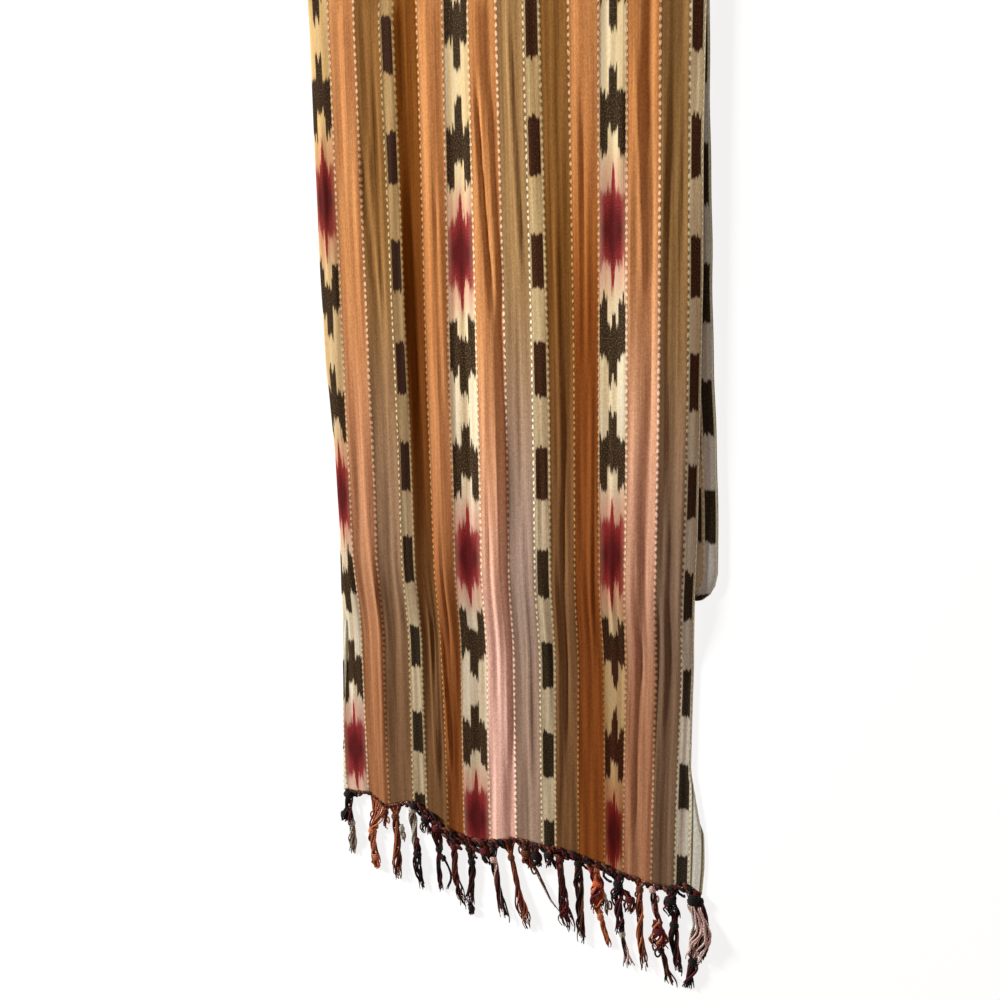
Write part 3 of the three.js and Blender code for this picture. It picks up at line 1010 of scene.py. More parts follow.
@dataclass(frozen=True)
class IkatWeave:
    """Cotton and rayon cloth, plain woven with a resist-dyed warp.

    To the eye: soft, slightly silky stripes whose threads run lengthwise, with feathered ends to
    each dyed block, and rows of raised pale floats between the stripes. The spans of the blocks
    are millimetres from the middle of a repeat.
    """

    # Plain yarn of each kind of stripe in the upper part, and towards the hem the same yarn under
    # painted cooler light; the next two fields set where the painted light passes from one to the
    # other, later on the pale stripes.
    upper: tuple[str, ...] = ("#c4844f", "#8f693c", "#e8d3ac", "#cdb68c", "#c8c2b0")
    lower: tuple[str, ...] = ("#c69277", "#90776a", "#d5c8b4", "#c6baa4", "#c8c6be")
    drift_y: tuple[float, float] = (150.0, -110.0)
    pale_drift_lead: float = 55.0
    # Resist dyes, and how they wear. The greyer narrow dark is the narrow dye under painted cool
    # light, and the maroon is the wide dark under painted red-brown shade.
    dark: str = "#2a1b0e"
    dark_narrow: str = "#38190b"
    dark_narrow_cool_light: str = "#221c12"
    dark_worn: str = "#6f573a"
    red: str = "#8c1a24"
    deep_red: str = "#56070f"
    maroon: str = "#3d100c"
    pink: str = "#cf8b7c"
    # Overlays on the dye, where mid grey changes nothing.
    thread_deep: str = "#998c7d"
    thread_pale: str = "#d8d7d6"
    slub_deep: str = "#8e8e8e"
    slub_pale: str = "#dedede"
    # Threads: groups of ends 3 mm wide, single ends of 0.4 mm, and slubs and worn flecks of 1 mm.
    groups: Grain = Grain(0.34, 0.006, 3.0, 3.1)
    ends: Grain = Grain(2.4, 0.02, 2.0, 11.7)
    slubs: Grain = Grain(1.1, 0.8, 2.0, 27.3)
    flecks: Grain = Grain(1.5, 1.1, 2.0, 88.0)
    group_share: float = 0.78
    # Blocks: how far warp ends slip at the loom, in groups, and how far single ends feather.
    slip_groups: tuple[float, float] = (1.05, 2.75)
    slip_reach: float = 17.0
    feathers: Grain = Grain(5.0, 0.25, 2.0, 41.0)
    feather_reach: float = 9.0
    narrow_slip: float = 0.36
    body: tuple[float, float] = (47.0, 66.0)
    prongs: tuple[float, float] = (36.0, 50.0)
    spear: tuple[float, float] = (60.0, 79.0)
    narrow_block: tuple[float, float] = (13.8, 15.6)
    red_block: tuple[float, float] = (17.5, 23.0)
    red_spear: float = 12.0
    bleed: tuple[float, float] = (22.0, 44.0)
    heart: tuple[float, float] = (8.0, 27.0)
    heart_taper: float = 18.0
    dye_cover: float = 0.995
    # Floats between the stripes.
    float_warm: str = "#f3c9a4"
    float_pale: str = "#e0d2aa"
    line_shadow: str = "#594230"
    float_pitch: float = 3.9
    float_width: float = 0.78
    float_length: float = 1.15
    float_wander: Grain = Grain(0.3, 0.16, 1.0, 5.5)
    thread: float = 0.9  # real ones are about half this; drawn coarser so that they show
    bump: float = 0.38
    roughness: float = 0.82

    def material(self, name: str) -> bpy.types.Material:
        """Builds the cloth's material.

        Args:
            name: The material's name.

        Returns:
            The new material.
        """
        made = new_material(name)
        cut = Cut.of(made.node_tree)
        groups, ends, slubs = (grain.over(cut) for grain in (self.groups, self.ends, self.slubs))
        streak = groups * self.group_share + ends * (1 - self.group_share)
        shade = streak.rise(0.34, 0.66)
        threads = tint(shade, linear(self.thread_deep), linear(self.thread_pale))
        specks = tint(slubs.rise(0.3, 0.7), linear(self.slub_deep), linear(self.slub_pale))
        colour = tint(0.5, self.ground(cut), threads, "OVERLAY")
        colour = tint(0.34, colour, specks, "OVERLAY")
        colour = self.dye_blocks(cut, colour)
        colour, stitch = self.lay_floats(cut, colour, slubs)
        # Painted shade and light over every stripe, with blue and green falling faster than red in the
        # painted shade.
        colour = tint(1.0, colour, self.painted_shading_tint(cut), "MULTIPLY")
        # Floats stand up, warp ends ripple, and the weft shows between them.
        weft, warp = ((way * (2 * math.pi / self.thread)).math("SINE") for way in (cut.v, cut.u))
        height = stitch * 0.9 + streak * 0.8 + weft * warp * 0.06 + slubs * 0.25
        inputs = {"Height": height, "Distance": self.bump * MM, "Strength": 0.9}
        shader = add_node(
            cut.tree,
            "ShaderNodeBsdfPrincipled",
            {
                "Base Color": colour,
                "Roughness": shade * -0.1 + (self.roughness + 0.04),
                "Normal": add_node(cut.tree, "ShaderNodeBump", inputs).outputs[0],
                "IOR": 1.47,
                "Specular IOR Level": 0.05,
                "Sheen Weight": 0.01,
                "Sheen Roughness": 0.5,
            },
        )
        add_node(cut.tree, "ShaderNodeOutputMaterial", {"Surface": shader.outputs[0]})
        return made

    def ground(self, cut: Cut) -> Field:
        """Returns the stripes' plain colours, under painted warm light in the upper part and painted
        cooler, greyer light towards the hem.

        Args:
            cut: The sheet's coordinates.

        Returns:
            The colour.
        """
        place = (cut.kind + 0.5) / len(Stripe)
        colours = []
        for stops in (self.upper, self.lower):
            ramp = add_node(cut.tree, "ShaderNodeValToRGB", {0: place})
            spaced = [(i / len(Stripe), stop) for i, stop in enumerate(stops)]
            paint_ramp(ramp.color_ramp, spaced, "CONSTANT")
            colours.append(Field(ramp.outputs["Color"]))
        lead = cut.from_kind(Stripe.WIDE_IKAT) * self.pale_drift_lead
        return tint((cut.v - lead).rise(*self.drift_y), *colours)

    def slip(self, cut: Cut, group: float, seed: float) -> Field:
        """Returns how far each group of warp ends slipped along the cloth.

        Args:
            cut: The sheet's coordinates.
            group: The width of a group.
            seed: Sets how groups slip.

        Returns:
            The slip in millimetres.
        """
        lane = (cut.u / group).math("FLOOR") * 7.13 + seed
        place = add_node(cut.tree, "ShaderNodeCombineXYZ", {"X": lane, "Y": cut.v * 0.012})
        inputs = {"Vector": place.outputs[0], "Scale": 1.0, "Detail": 1.0}
        noise = Field(add_node(cut.tree, "ShaderNodeTexNoise", inputs).outputs["Fac"])
        return (noise - 0.5) * self.slip_reach

    def dye_blocks(self, cut: Cut, colour: Field) -> Field:
        """Lays the resist-dyed blocks on the plain stripes.

        Args:
            cut: The sheet's coordinates.
            colour: The colour of the stripes.

        Returns:
            The colour with its blocks.
        """
        fine, broad = self.slip_groups
        feather = (self.feathers.over(cut) - 0.5) * self.feather_reach
        stray = self.slip(cut, fine, 0.0) + self.slip(cut, broad, 5.0) + feather
        reach, side = abs(cut.repeat), cut.side()
        near = reach + stray
        is_edge, is_narrow = cut.from_kind(Stripe.SELVEDGE), cut.from_kind(Stripe.NARROW_IKAT)
        is_wide = cut.from_kind(Stripe.WIDE_IKAT) - is_narrow
        inside = is_wide * side.fall(0.90, 0.97)

        # Wide stripes: a pink bleed, a red block with a deeper heart, and a dark pronged one.
        fleck = self.flecks.over(cut).rise(0.46, 0.74)
        spearhead = side.fall(0.05, 0.18) * self.red_spear
        red = (near + feather * 0.5 + side * 1.5 - spearhead).fall(*self.red_block)
        red = red * inside * (1.0 - side.rise(0.5, 1.0) * 0.3)
        heart = (reach + side * self.heart_taper).fall(*self.heart)
        worn = fleck * (1.0 - heart * 0.8)
        red_dye = tint(heart, linear(self.red), linear(self.deep_red))
        colour = tint(near.fall(*self.bleed) * is_wide * 0.6, colour, linear(self.pink))
        colour = tint(red * (0.99 - worn * 0.2), colour, red_dye)
        prongs = near.between(self.prongs) * side.rise(0.34, 0.42)
        spear = near.between(self.spear) * side.fall(0.26, 0.36)
        wide = near.between(self.body).math("MAXIMUM", prongs.math("MAXIMUM", spear)) * inside
        # Where the lean paints a red-brown shade, the wide dark blocks turn maroon with it: painted
        # shade hue.
        wide_dye = tint(cut.lean.rise(0.3, 0.44), linear(self.dark), linear(self.maroon))
        wide_dye = tint(fleck, wide_dye, linear(self.dark_worn))
        colour = tint(wide * self.dye_cover, colour, wide_dye)

        # Narrow stripes: dark blocks, or along a selvedge a dark line, except where the lean paints a
        # cool hue, as on the back fall. Their dark is browner in the upper part and greyer towards the
        # hem and under the cool painted hue, a painted change of light.
        warm_painted_hue = cut.lean.rise(-0.2, -0.12)
        narrow = (reach + stray * self.narrow_slip).fall(*self.narrow_block)
        narrow = narrow * is_narrow * side.fall(0.70, 0.80).math("MAXIMUM", is_edge)
        lined = is_edge * warm_painted_hue
        narrow = narrow * (1.0 - lined) + side.rise(0.5, 0.62) * 0.85 * lined
        brown = cut.v.rise(-100.0, 60.0) * warm_painted_hue
        narrow_dye = tint(brown, linear(self.dark_narrow_cool_light), linear(self.dark_narrow))
        narrow_dye = tint(fleck * 0.6, narrow_dye, linear(self.dark_worn))
        return tint(narrow * self.dye_cover, colour, narrow_dye)

    def lay_floats(self, cut: Cut, colour: Field, slubs: Field) -> tuple[Field, Field]:
        """Lays rows of floats between the stripes, like lines of small stitches.

        Args:
            cut: The sheet's coordinates.
            colour: The colour of the stripes.
            slubs: How thick the yarn is at each place.

        Returns:
            The colour with its floats, and where they stand up.
        """
        from_line = cut.across.math("MINIMUM", 1.0 - cut.across) * cut.width
        turn = ((self.float_wander.over(cut) * 3.4 + cut.v) / self.float_pitch).math("FRACT")
        beat = abs(turn - 0.5) * (self.float_pitch / self.float_length)
        spot = ((from_line / self.float_width) ** 2.0 + beat**2.0).math("SQRT")
        stitch = spot.fall(0.80, 1.22)
        cord = from_line.fall(0.55, 1.0)
        edging = cord * cut.from_kind(Stripe.SELVEDGE) * 0.75
        cover = stitch * (slubs.rise(0.3, 0.6) * 0.33 + 0.62)
        floats = tint(cut.warm, linear(self.float_pale), linear(self.float_warm))
        colour = tint(cord * 0.3, colour, linear(self.line_shadow))
        return tint(cover.math("MAXIMUM", edging), colour, floats), stitch

    def painted_shading_tint(self, cut: Cut) -> Field:
        """Returns each stripe's painted shade and light, as shares of red, green and blue.

        Args:
            cut: The sheet's coordinates.

        Returns:
            The shares as a colour.
        """
        is_edge, is_pale = cut.from_kind(Stripe.SELVEDGE), cut.from_kind(Stripe.WIDE_IKAT)
        # The lean tints the painted shade: above 0 it takes out blue and green for a red-brown shade,
        # below 0 it adds them for a cooler one.
        warm = cut.lean.math("MAXIMUM", 0.0)
        green = cut.tone ** (is_pale * -0.4 + is_edge * -0.2 + 1.6)
        green = green * (cut.lean * -0.25 + 1.0) * (warm * -0.17 + 1.0)
        blue = cut.tone ** (is_pale * -1.4 + is_edge * -0.4 + 2.8) * (1.0 - cut.lean)
        shares = {0: cut.tone, 1: green, 2: blue}
        return Field(add_node(cut.tree, "ShaderNodeCombineColor", shares).outputs[0])


class YarnDye(Enum):
    """The dyed yarns of the fringe."""

    BLACK = "#170d0b"
    MAROON = "#5c1218"
    RUST = "#bd6b45"
    BROWN = "#6b3a1e"
    PINK = "#d9b3ab"
    GREY = "#b3aa9c"
    FLAME = "#cf5a2c"


@dataclass(frozen=True)
class YarnFinish:
    """Twisted cotton yarn: matt, with a fine slanting ply that catches the light."""

    dye: YarnDye
    ply: float = 1.6  # length of one turn of the twist
    shadow: float = 0.55
    bump: float = 0.25
    roughness: float = 0.78

    def material(self) -> bpy.types.Material:
        """Builds the yarn's material."""
        made = new_material(f"twisted_yarn_{self.dye.name.lower()}")
        tree = made.node_tree
        place = add_node(tree, "ShaderNodeUVMap", uv_map="Yarn").outputs[0]
        split = add_node(tree, "ShaderNodeSeparateXYZ", {0: place})
        around, along = Field(split.outputs["X"]), Field(split.outputs["Y"])
        ridge = (along * (2 * math.pi / self.ply) + around).math("SINE")
        fuzz = add_node(tree, "ShaderNodeTexNoise", {"Vector": place, "Scale": 1.3, "Detail": 3.0})
        raised = ((ridge + 1.0) / 1.8).math("MINIMUM", 1.0) * Field(fuzz.outputs["Fac"])
        full = linear(self.dye.value)
        deep = tuple(self.shadow * c for c in full[:3]) + (1.0,)
        inputs = {"Height": raised, "Distance": self.bump * MM, "Strength": 0.8}
        shader = add_node(
            tree,
            "ShaderNodeBsdfPrincipled",
            {
                "Base Color": tint(raised / 0.55, deep, full),
                "Roughness": self.roughness,
                "Normal": add_node(tree, "ShaderNodeBump", inputs).outputs[0],
                "IOR": 1.47,
                "Specular IOR Level": 0.2,
                "Sheen Weight": 0.03,
            },
        )
        add_node(tree, "ShaderNodeOutputMaterial", {"Surface": shader.outputs[0]})
        return made


# ------------------------------------------------------------------------------- the fringe


class Palette(Enum):
    """The yarns that each kind of tassel is tied from, in turn."""

    BLACK = (YarnDye.BLACK, YarnDye.BLACK, YarnDye.MAROON)
    DARK = (YarnDye.BLACK, YarnDye.MAROON, YarnDye.BLACK, YarnDye.BROWN)
    DARK_RED = (YarnDye.MAROON, YarnDye.BLACK, YarnDye.MAROON, YarnDye.BROWN)
    RUST = (YarnDye.RUST, YarnDye.RUST, YarnDye.BROWN, YarnDye.RUST)
    RUST_BROWN = (YarnDye.BROWN, YarnDye.RUST, YarnDye.MAROON, YarnDye.BROWN)
    PINK_DARK = (YarnDye.PINK, YarnDye.BLACK, YarnDye.MAROON, YarnDye.BLACK)
    GREY = (YarnDye.GREY, YarnDye.BROWN, YarnDye.GREY)
    GREY_PINK = (YarnDye.GREY, YarnDye.PINK, YarnDye.BLACK)
    SMOKE = (YarnDye.BLACK, YarnDye.PINK, YarnDye.GREY, YarnDye.PINK, YarnDye.MAROON)
    RED = (YarnDye.MAROON, YarnDye.MAROON, YarnDye.RUST)
    FLAME = (YarnDye.FLAME, YarnDye.RUST, YarnDye.MAROON)


@dataclass(frozen=True)
class Tassel:
    """One bundle of yarns: where it starts and ends, how thick it is, and how it is tied.

    The drop is how far below the hem it starts, the swell how much it widens and where, and the
    curl how far its yarns stray sideways in waves.
    """

    root: float
    end: float
    drop: float
    length: float
    bow: float
    palette: Palette
    yarns: int
    spread: float
    girth: float
    splay: float
    swell: float = 0.0
    swell_at: float = 0.5
    curl: float = 0.6
    knot: float = 0.16
    loops: int = 0
    twist: float = 1.0


@dataclass
class Fringe:
    """The warp ends below the hem, knotted into tassels."""

    form: FoldedForm
    yarn: float = 0.56
    steps: int = 25
    sides: int = 5
    fullness: float = 1.55
    flatness: float = 0.46
    floor_gap: float = 0.02
    ends: tuple[float, float] = (-126.4, 121.4)
    joined_drop: float = 4.0  # tassels that start higher than this begin at the hem itself
    knot_length: float = 2.6
    gather_length: float = 4.0
    curl_length: float = 13.0
    golden_turn: float = 0.382
    bind_turns: float = 3.6
    bind_length: float = 3.8
    loop_turn: float = 0.8
    hem_span: tuple[float, float] = (-126.2, 121.0)
    hem_yarn: float = 0.55
    hem_twist: float = 4.3
    lump_span: tuple[float, float] = (-124.0, 119.5)
    lump_yarn: float = 0.88
    lump_turns: float = 1.8
    lump_drop: float = 3.3
    lump_crowding: float = 1.6
    # root, end, drop, length, bow, yarns of, count, spread, girth, splay, swell, at, curl, knot, loops
    tassels: tuple[Tassel, ...] = (
        Tassel(-121.6, -122.6, 0, 25, -2.5, Palette.BLACK, 18, 3.9, 2.5, 0.4, 0.3, 0.9, 0.5, 0.1),
        Tassel(-125.6, -128.4, 14, 10, 0, Palette.BLACK, 9, 1.2, 1.9, 0.6, 0.4, 0.5, 0.8, 0.4, 1),
        Tassel(-122.5, -122.6, 21, 27, 1.5, Palette.GREY, 12, 1.6, 1.7, 0.8, 0.6, 0.5, 0.5, 0.1),
        Tassel(-99.5, -103.7, 0, 50, -3.5, Palette.RUST, 20, 6.6, 1.9, 0.4, 1.0, 0.16, 0.8, 0.5, 3),
        Tassel(-103.6, -104.2, 45, 11, 0, Palette.RUST, 14, 1.6, 1.5, 0.3, 0.8, 0.5, 1.0, 0.1, 2),
        Tassel(-93.5, -94.5, 2, 17, -1, Palette.RUST_BROWN, 7, 2.6, 1.0, 0.8, 0.5, 0.8, 1.0, 0.2, 2),
        Tassel(-86.6, -87.2, 0, 57, 0.5, Palette.RUST_BROWN, 19, 5.0, 1.7, 0.5, 0.4, 0.86, 0.5),
        Tassel(-82.5, -81.8, 16, 12, 0, Palette.GREY, 6, 1.0, 0.9, 0.5, 0.4, 0.5, 0.8, 0.2, 2),
        Tassel(-72.6, -71.5, 0, 42, -1, Palette.GREY, 14, 5.5, 1.7, 0.6, 0.6, 0.25, 0.5),
        Tassel(-72.0, -71.4, 0, 9, 0, Palette.BLACK, 8, 5.4, 2.2, 0.8, 0.3, 0.5, 0.6, 0.4),
        Tassel(-71.2, -67.6, 28, 38, -1.2, Palette.BLACK, 13, 2.0, 1.8, 1.0, 0.3, 0.5, 0.6, 0.3),
        Tassel(-64.0, -62.0, 1, 17, 0, Palette.DARK, 12, 5.0, 2.2, 1.2, 0.5, 0.8, 0.7, 0.4, 1),
        Tassel(-56.0, -53.6, 0, 24, 0, Palette.DARK_RED, 13, 5.0, 1.9, 0.6, 0.4, 0.4, 0.6, 0.3, 1),
        Tassel(-54.2, -53.6, 18, 37, -1.0, Palette.BLACK, 10, 2.0, 1.2, 3.0, 0.0, 0.5, 0.7, 0.1),
        Tassel(-53.0, -50.6, 24, 28, 5.0, Palette.DARK, 3, 1.2, 0.6, 0.6, 0.0, 0.5, 0.5, 0.1),
        Tassel(-43.0, -36.4, 0, 56, -2.6, Palette.DARK_RED, 16, 6.0, 1.5, 1.2, 0.5, 0.88, 1.2, 0.2),
        Tassel(-31.0, -33.6, 0, 50, 2.0, Palette.DARK, 15, 6.0, 1.5, 1.2, 0.4, 0.84, 0.8, 0.3),
        Tassel(-32.0, -31.8, 46, 9, 0.5, Palette.BLACK, 9, 1.0, 1.2, 0.6, 0.5, 0.4, 0.6, 0.4),
        Tassel(-22.0, -17.5, 0, 16, 0, Palette.DARK_RED, 14, 6.0, 2.3, 1.6, 0.5, 0.6, 0.8, 0.4, 1),
        Tassel(-15.6, -6.5, 2, 54, -1, Palette.PINK_DARK, 16, 5.5, 1.4, 3.2, 0.4, 0.2, 0.5, 0.2),
        Tassel(-3.4, 10.5, 0, 62, -1.4, Palette.RUST_BROWN, 17, 5.0, 1.2, 0.8, 1.6, 0.8, 0.5, 0.2),
        Tassel(6.0, 12.0, 0, 19, 0.5, Palette.RUST_BROWN, 17, 5.6, 2.3, 1.8, 0.5, 0.6, 1.2, 0.4, 4),
        Tassel(14.5, 17.0, 0, 17, 0.5, Palette.DARK, 15, 4.6, 2.3, 0.8, 0.3, 0.5, 0.6, 0.5, 2),
        Tassel(12.0, 30.0, 12, 32, -1, Palette.GREY_PINK, 5, 1.6, 0.7, 0.6, 0.0, 0.5, 0.6, 0.1),
        Tassel(24.0, 26.0, 0, 15, 0, Palette.BLACK, 13, 4.6, 2.2, 0.8, 0.3, 0.5, 0.7, 0.4, 1),
        Tassel(32.0, 37.6, 0, 57, -1, Palette.DARK_RED, 19, 6.0, 1.6, 2.4, 0.9, 0.78, 0.5, 0.12, 1),
        Tassel(44.4, 46.4, 0, 62, -0.5, Palette.DARK, 17, 5.5, 1.6, 1.6, 0.3, 0.3, 0.5, 0.1),
        Tassel(53.6, 57.0, 0, 36, 2.0, Palette.FLAME, 20, 5.6, 2.3, 1.2, 0.7, 0.5, 1.5, 0.4, 3),
        Tassel(56.6, 64.0, 32, 25, 1.0, Palette.RUST, 9, 2.0, 1.1, 1.2, 0.4, 0.3, 0.8, 0.2),
        Tassel(60.5, 62.6, 20, 14, 1.5, Palette.GREY, 5, 1.0, 0.7, 0.5, 0.4, 0.5, 1.0, 0.1, 2),
        Tassel(70.4, 72.0, 0, 45, -0.8, Palette.BLACK, 18, 5.6, 1.9, 0.8, 0.4, 0.3, 0.5, 0.2, 1),
        Tassel(75.0, 76.8, 12, 15, 3.0, Palette.DARK_RED, 11, 2.6, 1.9, 1.2, 0.7, 0.5, 0.8, 0.3, 1),
        Tassel(72.6, 77.6, 40, 26, 0, Palette.GREY_PINK, 10, 1.8, 1.0, 3.6, 0.0, 0.5, 0.5, 0.1),
        Tassel(84.0, 87.5, 0, 64, -1.2, Palette.RUST_BROWN, 13, 4.6, 1.3, 1.2, 0.2, 0.5, 0.9, 0.1, 2),
        Tassel(91.0, 97.0, 0, 30, 0.6, Palette.PINK_DARK, 12, 4.6, 1.2, 1.0, 0.2, 0.4, 0.8, 0.1, 1),
        Tassel(95.6, 98.0, 24, 18, 0, Palette.RED, 16, 3.0, 2.6, 1.6, 0.8, 0.5, 1.6, 0.3, 4),
        Tassel(97.0, 105.0, 40, 26, 0.5, Palette.DARK, 11, 2.4, 1.0, 3.4, 0.0, 0.5, 0.8, 0.1, 1),
        Tassel(104.6, 106.0, 0, 22, -1.6, Palette.BLACK, 17, 4.6, 2.4, 0.6, 0.6, 0.6, 0.7, 0.4, 2),
        Tassel(106.4, 110.0, 18, 42, -1.8, Palette.BLACK, 15, 2.4, 1.7, 0.8, 0.3, 0.5, 0.6, 0.2),
        Tassel(116.5, 118.5, 0, 15, 1.0, Palette.BLACK, 11, 5.2, 2.4, 1.0, 0.2, 0.5, 0.6, 0.3, 1),
        Tassel(116.0, 119.0, 3, 46, 4.5, Palette.SMOKE, 33, 4.4, 2.3, 2.2, 0.9, 0.6, 2.3, 0.1, 3, 0.3),
        Tassel(119.6, 121.5, 0, 50, 5.5, Palette.BLACK, 9, 1.8, 0.9, 0.6, 0.0, 0.5, 0.5, 0.1),
        Tassel(118.0, 114.5, 44, 24, 0.8, Palette.BLACK, 17, 2.4, 1.7, 2.4, 0.3, 0.3, 0.5, 0.15),
    )
    lumps: int = 130
    # How thick the small knots along the hem are at each x.
    clotted: tuple[tuple[float, float], ...] = (
        (-125, 1.1),
        (-105, 0.6),
        (-76, 0.8),
        (-68, 1.7),
        (-58, 2.2),
        (-40, 2.2),
        (-30, 1.8),
        (-14, 2.1),
        (-4, 0.8),
        (8, 1.5),
        (30, 1.7),
        (58, 1.5),
        (72, 1.1),
        (90, 0.7),
        (104, 1.1),
        (121, 1.1),
    )
    points: list[np.ndarray] = field(default_factory=list)
    faces: list[tuple[int, ...]] = field(default_factory=list)
    places: list[tuple[float, float]] = field(default_factory=list)
    dyes: list[int] = field(default_factory=list)

    def tube(self, path: np.ndarray, radii: np.ndarray, dye: YarnDye) -> None:
        """Adds a closed tube along a path.

        Args:
            path: The points along its middle.
            radii: The radius at each point.
            dye: The yarn's colour.
        """
        first = sum(len(p) for p in self.points)
        way = np.gradient(path, axis=0)
        way /= np.maximum(np.linalg.norm(way, axis=1, keepdims=True), 1e-9)
        side = np.cross(way, [0.03, 0.05, 1.0])
        side /= np.maximum(np.linalg.norm(side, axis=1, keepdims=True), 1e-9)
        up = np.cross(side, way)
        angles = 2 * math.pi * np.arange(self.sides) / self.sides
        ring = side[:, None] * np.cos(angles)[None, :, None]
        ring = ring + up[:, None] * np.sin(angles)[None, :, None]
        self.points.append((path[:, None] + ring * radii[:, None, None]).reshape(-1, 3))
        walked = np.concatenate([[0], np.cumsum(np.linalg.norm(np.diff(path, axis=0), axis=1))])
        number = list(YarnDye).index(dye)
        n = self.sides
        for i in range(len(path) - 1):
            for k in range(n):
                a, b = first + i * n + k, first + i * n + (k + 1) % n
                self.faces.append((a, b, b + n, a + n))
                self.places += [
                    (2 * math.pi * (k + dk) / n, float(walked[i + di]))
                    for dk, di in ((0, 0), (1, 0), (1, 1), (0, 1))
                ]
                self.dyes.append(number)
        last = first + (len(path) - 1) * n
        for ends in (tuple(first + k for k in reversed(range(n))), tuple(last + k for k in range(n))):
            self.faces.append(ends)
            self.places += [(0.0, 0.0)] * n
            self.dyes.append(number)

    def middle(self, t: Tassel, k: np.ndarray) -> tuple[np.ndarray, np.ndarray]:
        """Returns the x and y of a tassel's middle line.

        Args:
            t: The tassel's sizes.
            k: Places along it, from 0 to 1.

        Returns:
            The x and y of each place.
        """
        x = t.root + (t.end - t.root) * k + t.bow * np.sin(math.pi * k)
        x = x + 0.5 * t.curl * np.sin(2 * math.pi * (1.5 * k + t.root / 7)) * smooth(4 * k)
        y = float(read(self.form.hem, t.root)) - 0.3 - t.drop - t.length * k
        return x, y

    def hem_at(self, x: float, drop: float = 0.0) -> tuple[float, float]:
        """Returns the y of the hem at one x, less a drop, and the height of the cloth there.

        Args:
            x: Where along the hem.
            drop: How far below the hem.

        Returns:
            The y and the height.
        """
        y = float(read(self.form.hem, x)) - drop
        return y, float(self.form.relief(np.array(x), np.array(y)))

    def tie(self, t: Tassel, seed: int) -> None:
        """Adds one tassel's yarns, its knot and its stray loops.

        Args:
            t: The tassel's sizes.
            seed: Sets how its yarns stray.
        """
        dice = np.random.default_rng(1000 + seed)
        k = np.linspace(0, 1, self.steps)
        middle_x, middle_y = self.middle(t, k)
        colours = t.palette.value
        joined = t.drop < self.joined_drop
        knot = np.exp(-(((k - t.knot) * t.length / self.knot_length) ** 2))
        swell = 1 + t.swell * np.exp(-(((k - t.swell_at) / 0.2) ** 2))
        loose = smooth((k - 0.55) / 0.45)
        gather = smooth(k / max(t.knot, self.gather_length / t.length) if joined else 6 * k)
        for j in range(t.yarns):
            lean = -1 + 2 * (j + 0.5) / t.yarns
            root_x = float(np.clip(t.root + lean * t.spread, *self.ends))
            root_y, cloth_z = self.hem_at(root_x, t.drop - 0.4)
            root_z = 0.7 + (cloth_z if joined else 0.8)
            twist = t.twist * t.length / 30 * (0.2 + 0.9 * dice.random()) * k
            turn = 2 * math.pi * (j * self.golden_turn + twist) + 0.8 * dice.random()
            inner = 0.35 + 0.65 * ((j * 7) % t.yarns) / t.yarns
            girth = self.fullness * t.girth * inner * swell * (1 - 0.35 * knot)
            stray = t.splay * loose * (lean * 1.2 + 0.7 * (dice.random() - 0.5))
            wave = np.sin(2 * math.pi * (t.length / self.curl_length * k + dice.random()))
            curl = t.curl * 0.6 * wave * (0.4 + 0.6 * loose)
            lap = 0.3 * t.curl * (1 + np.cos(9 * k + j))
            x = middle_x + girth * np.cos(turn) + stray + curl
            y = middle_y + 0.3 * np.sin(turn) + 0.4 * curl
            z = self.yarn + 0.1 + girth * (1 + np.sin(turn)) * self.flatness + lap
            start = (root_x + 0 * k, root_y + (middle_y - middle_y[0]), root_z + 0 * k)
            path = np.stack(start, 1) * (1 - gather[:, None])
            path = path + np.stack([x, y, z], 1) * gather[:, None]
            short = (1 - 0.2 * dice.random()) * (self.steps - 1)
            at = np.linspace(0, short, self.steps)
            path = np.stack([np.interp(at, np.arange(self.steps), path[:, c]) for c in range(3)], 1)
            path[:, 2] = np.maximum(path[:, 2], self.yarn + 0.05)
            thin_out = 1 - 0.45 * smooth((k - 0.8) / 0.2)
            radii = self.yarn * (0.85 + 0.3 * dice.random()) * thin_out
            self.tube(path, radii, colours[j % len(colours)])
        self.bind(t)
        for n in range(t.loops):
            self.loop(t, n, dice)

    def bind(self, t: Tassel) -> None:
        """Adds the yarn wound round the tassel as its knot.

        Args:
            t: The tassel's sizes.
        """
        k = np.linspace(0, 1, 44)
        x, y = self.middle(t, np.array(t.knot))
        girth = self.fullness * t.girth
        angle = 2 * math.pi * self.bind_turns * k
        reach = (girth * 0.66 + 0.5) * (0.75 + 0.35 * np.sin(math.pi * k))
        height = self.yarn + 0.2 + girth * self.flatness
        across = float(x) + reach * np.cos(angle)
        along = float(y) + self.bind_length * (0.5 - k) + 0.5 * np.sin(angle)
        up = np.maximum(height + reach * 0.7 * np.sin(angle), self.yarn + 0.06)
        path = np.stack([across, along, up], 1)
        self.tube(path, np.full(len(k), self.yarn * 1.25), t.palette.value[0])

    def loop(self, t: Tassel, n: int, dice: np.random.Generator) -> None:
        """Adds one stray loop of yarn beside the tassel.

        Args:
            t: The tassel's sizes.
            n: The loop's number.
            dice: Sets its place and size.
        """
        k = np.linspace(0, 1, 22)
        at = np.array(0.12 + 0.22 * n + 0.12 * dice.random())
        x, y = self.middle(t, at)
        way = 1 if (n + len(t.palette.name)) % 2 else -1
        size = min(2.2, 0.16 * t.length) * (0.6 + 0.6 * dice.random())
        angle = 2 * math.pi * self.loop_turn * k + 0.5 * np.sin(5 * k + n)
        across = float(x) + way * (0.3 * t.girth + size * 0.7 * (1 - np.cos(angle)))
        along = float(y) - size * 1.5 * np.sin(angle) - 2.4 * k
        arch = np.sin(math.pi * k)
        up = self.yarn + 0.4 + 1.1 * arch + t.girth * 0.5 * (1 - arch)
        path = np.stack([across, along, up], 1)
        self.tube(path, np.full(len(k), self.yarn * 1.1), t.palette.value[n % len(t.palette.value)])

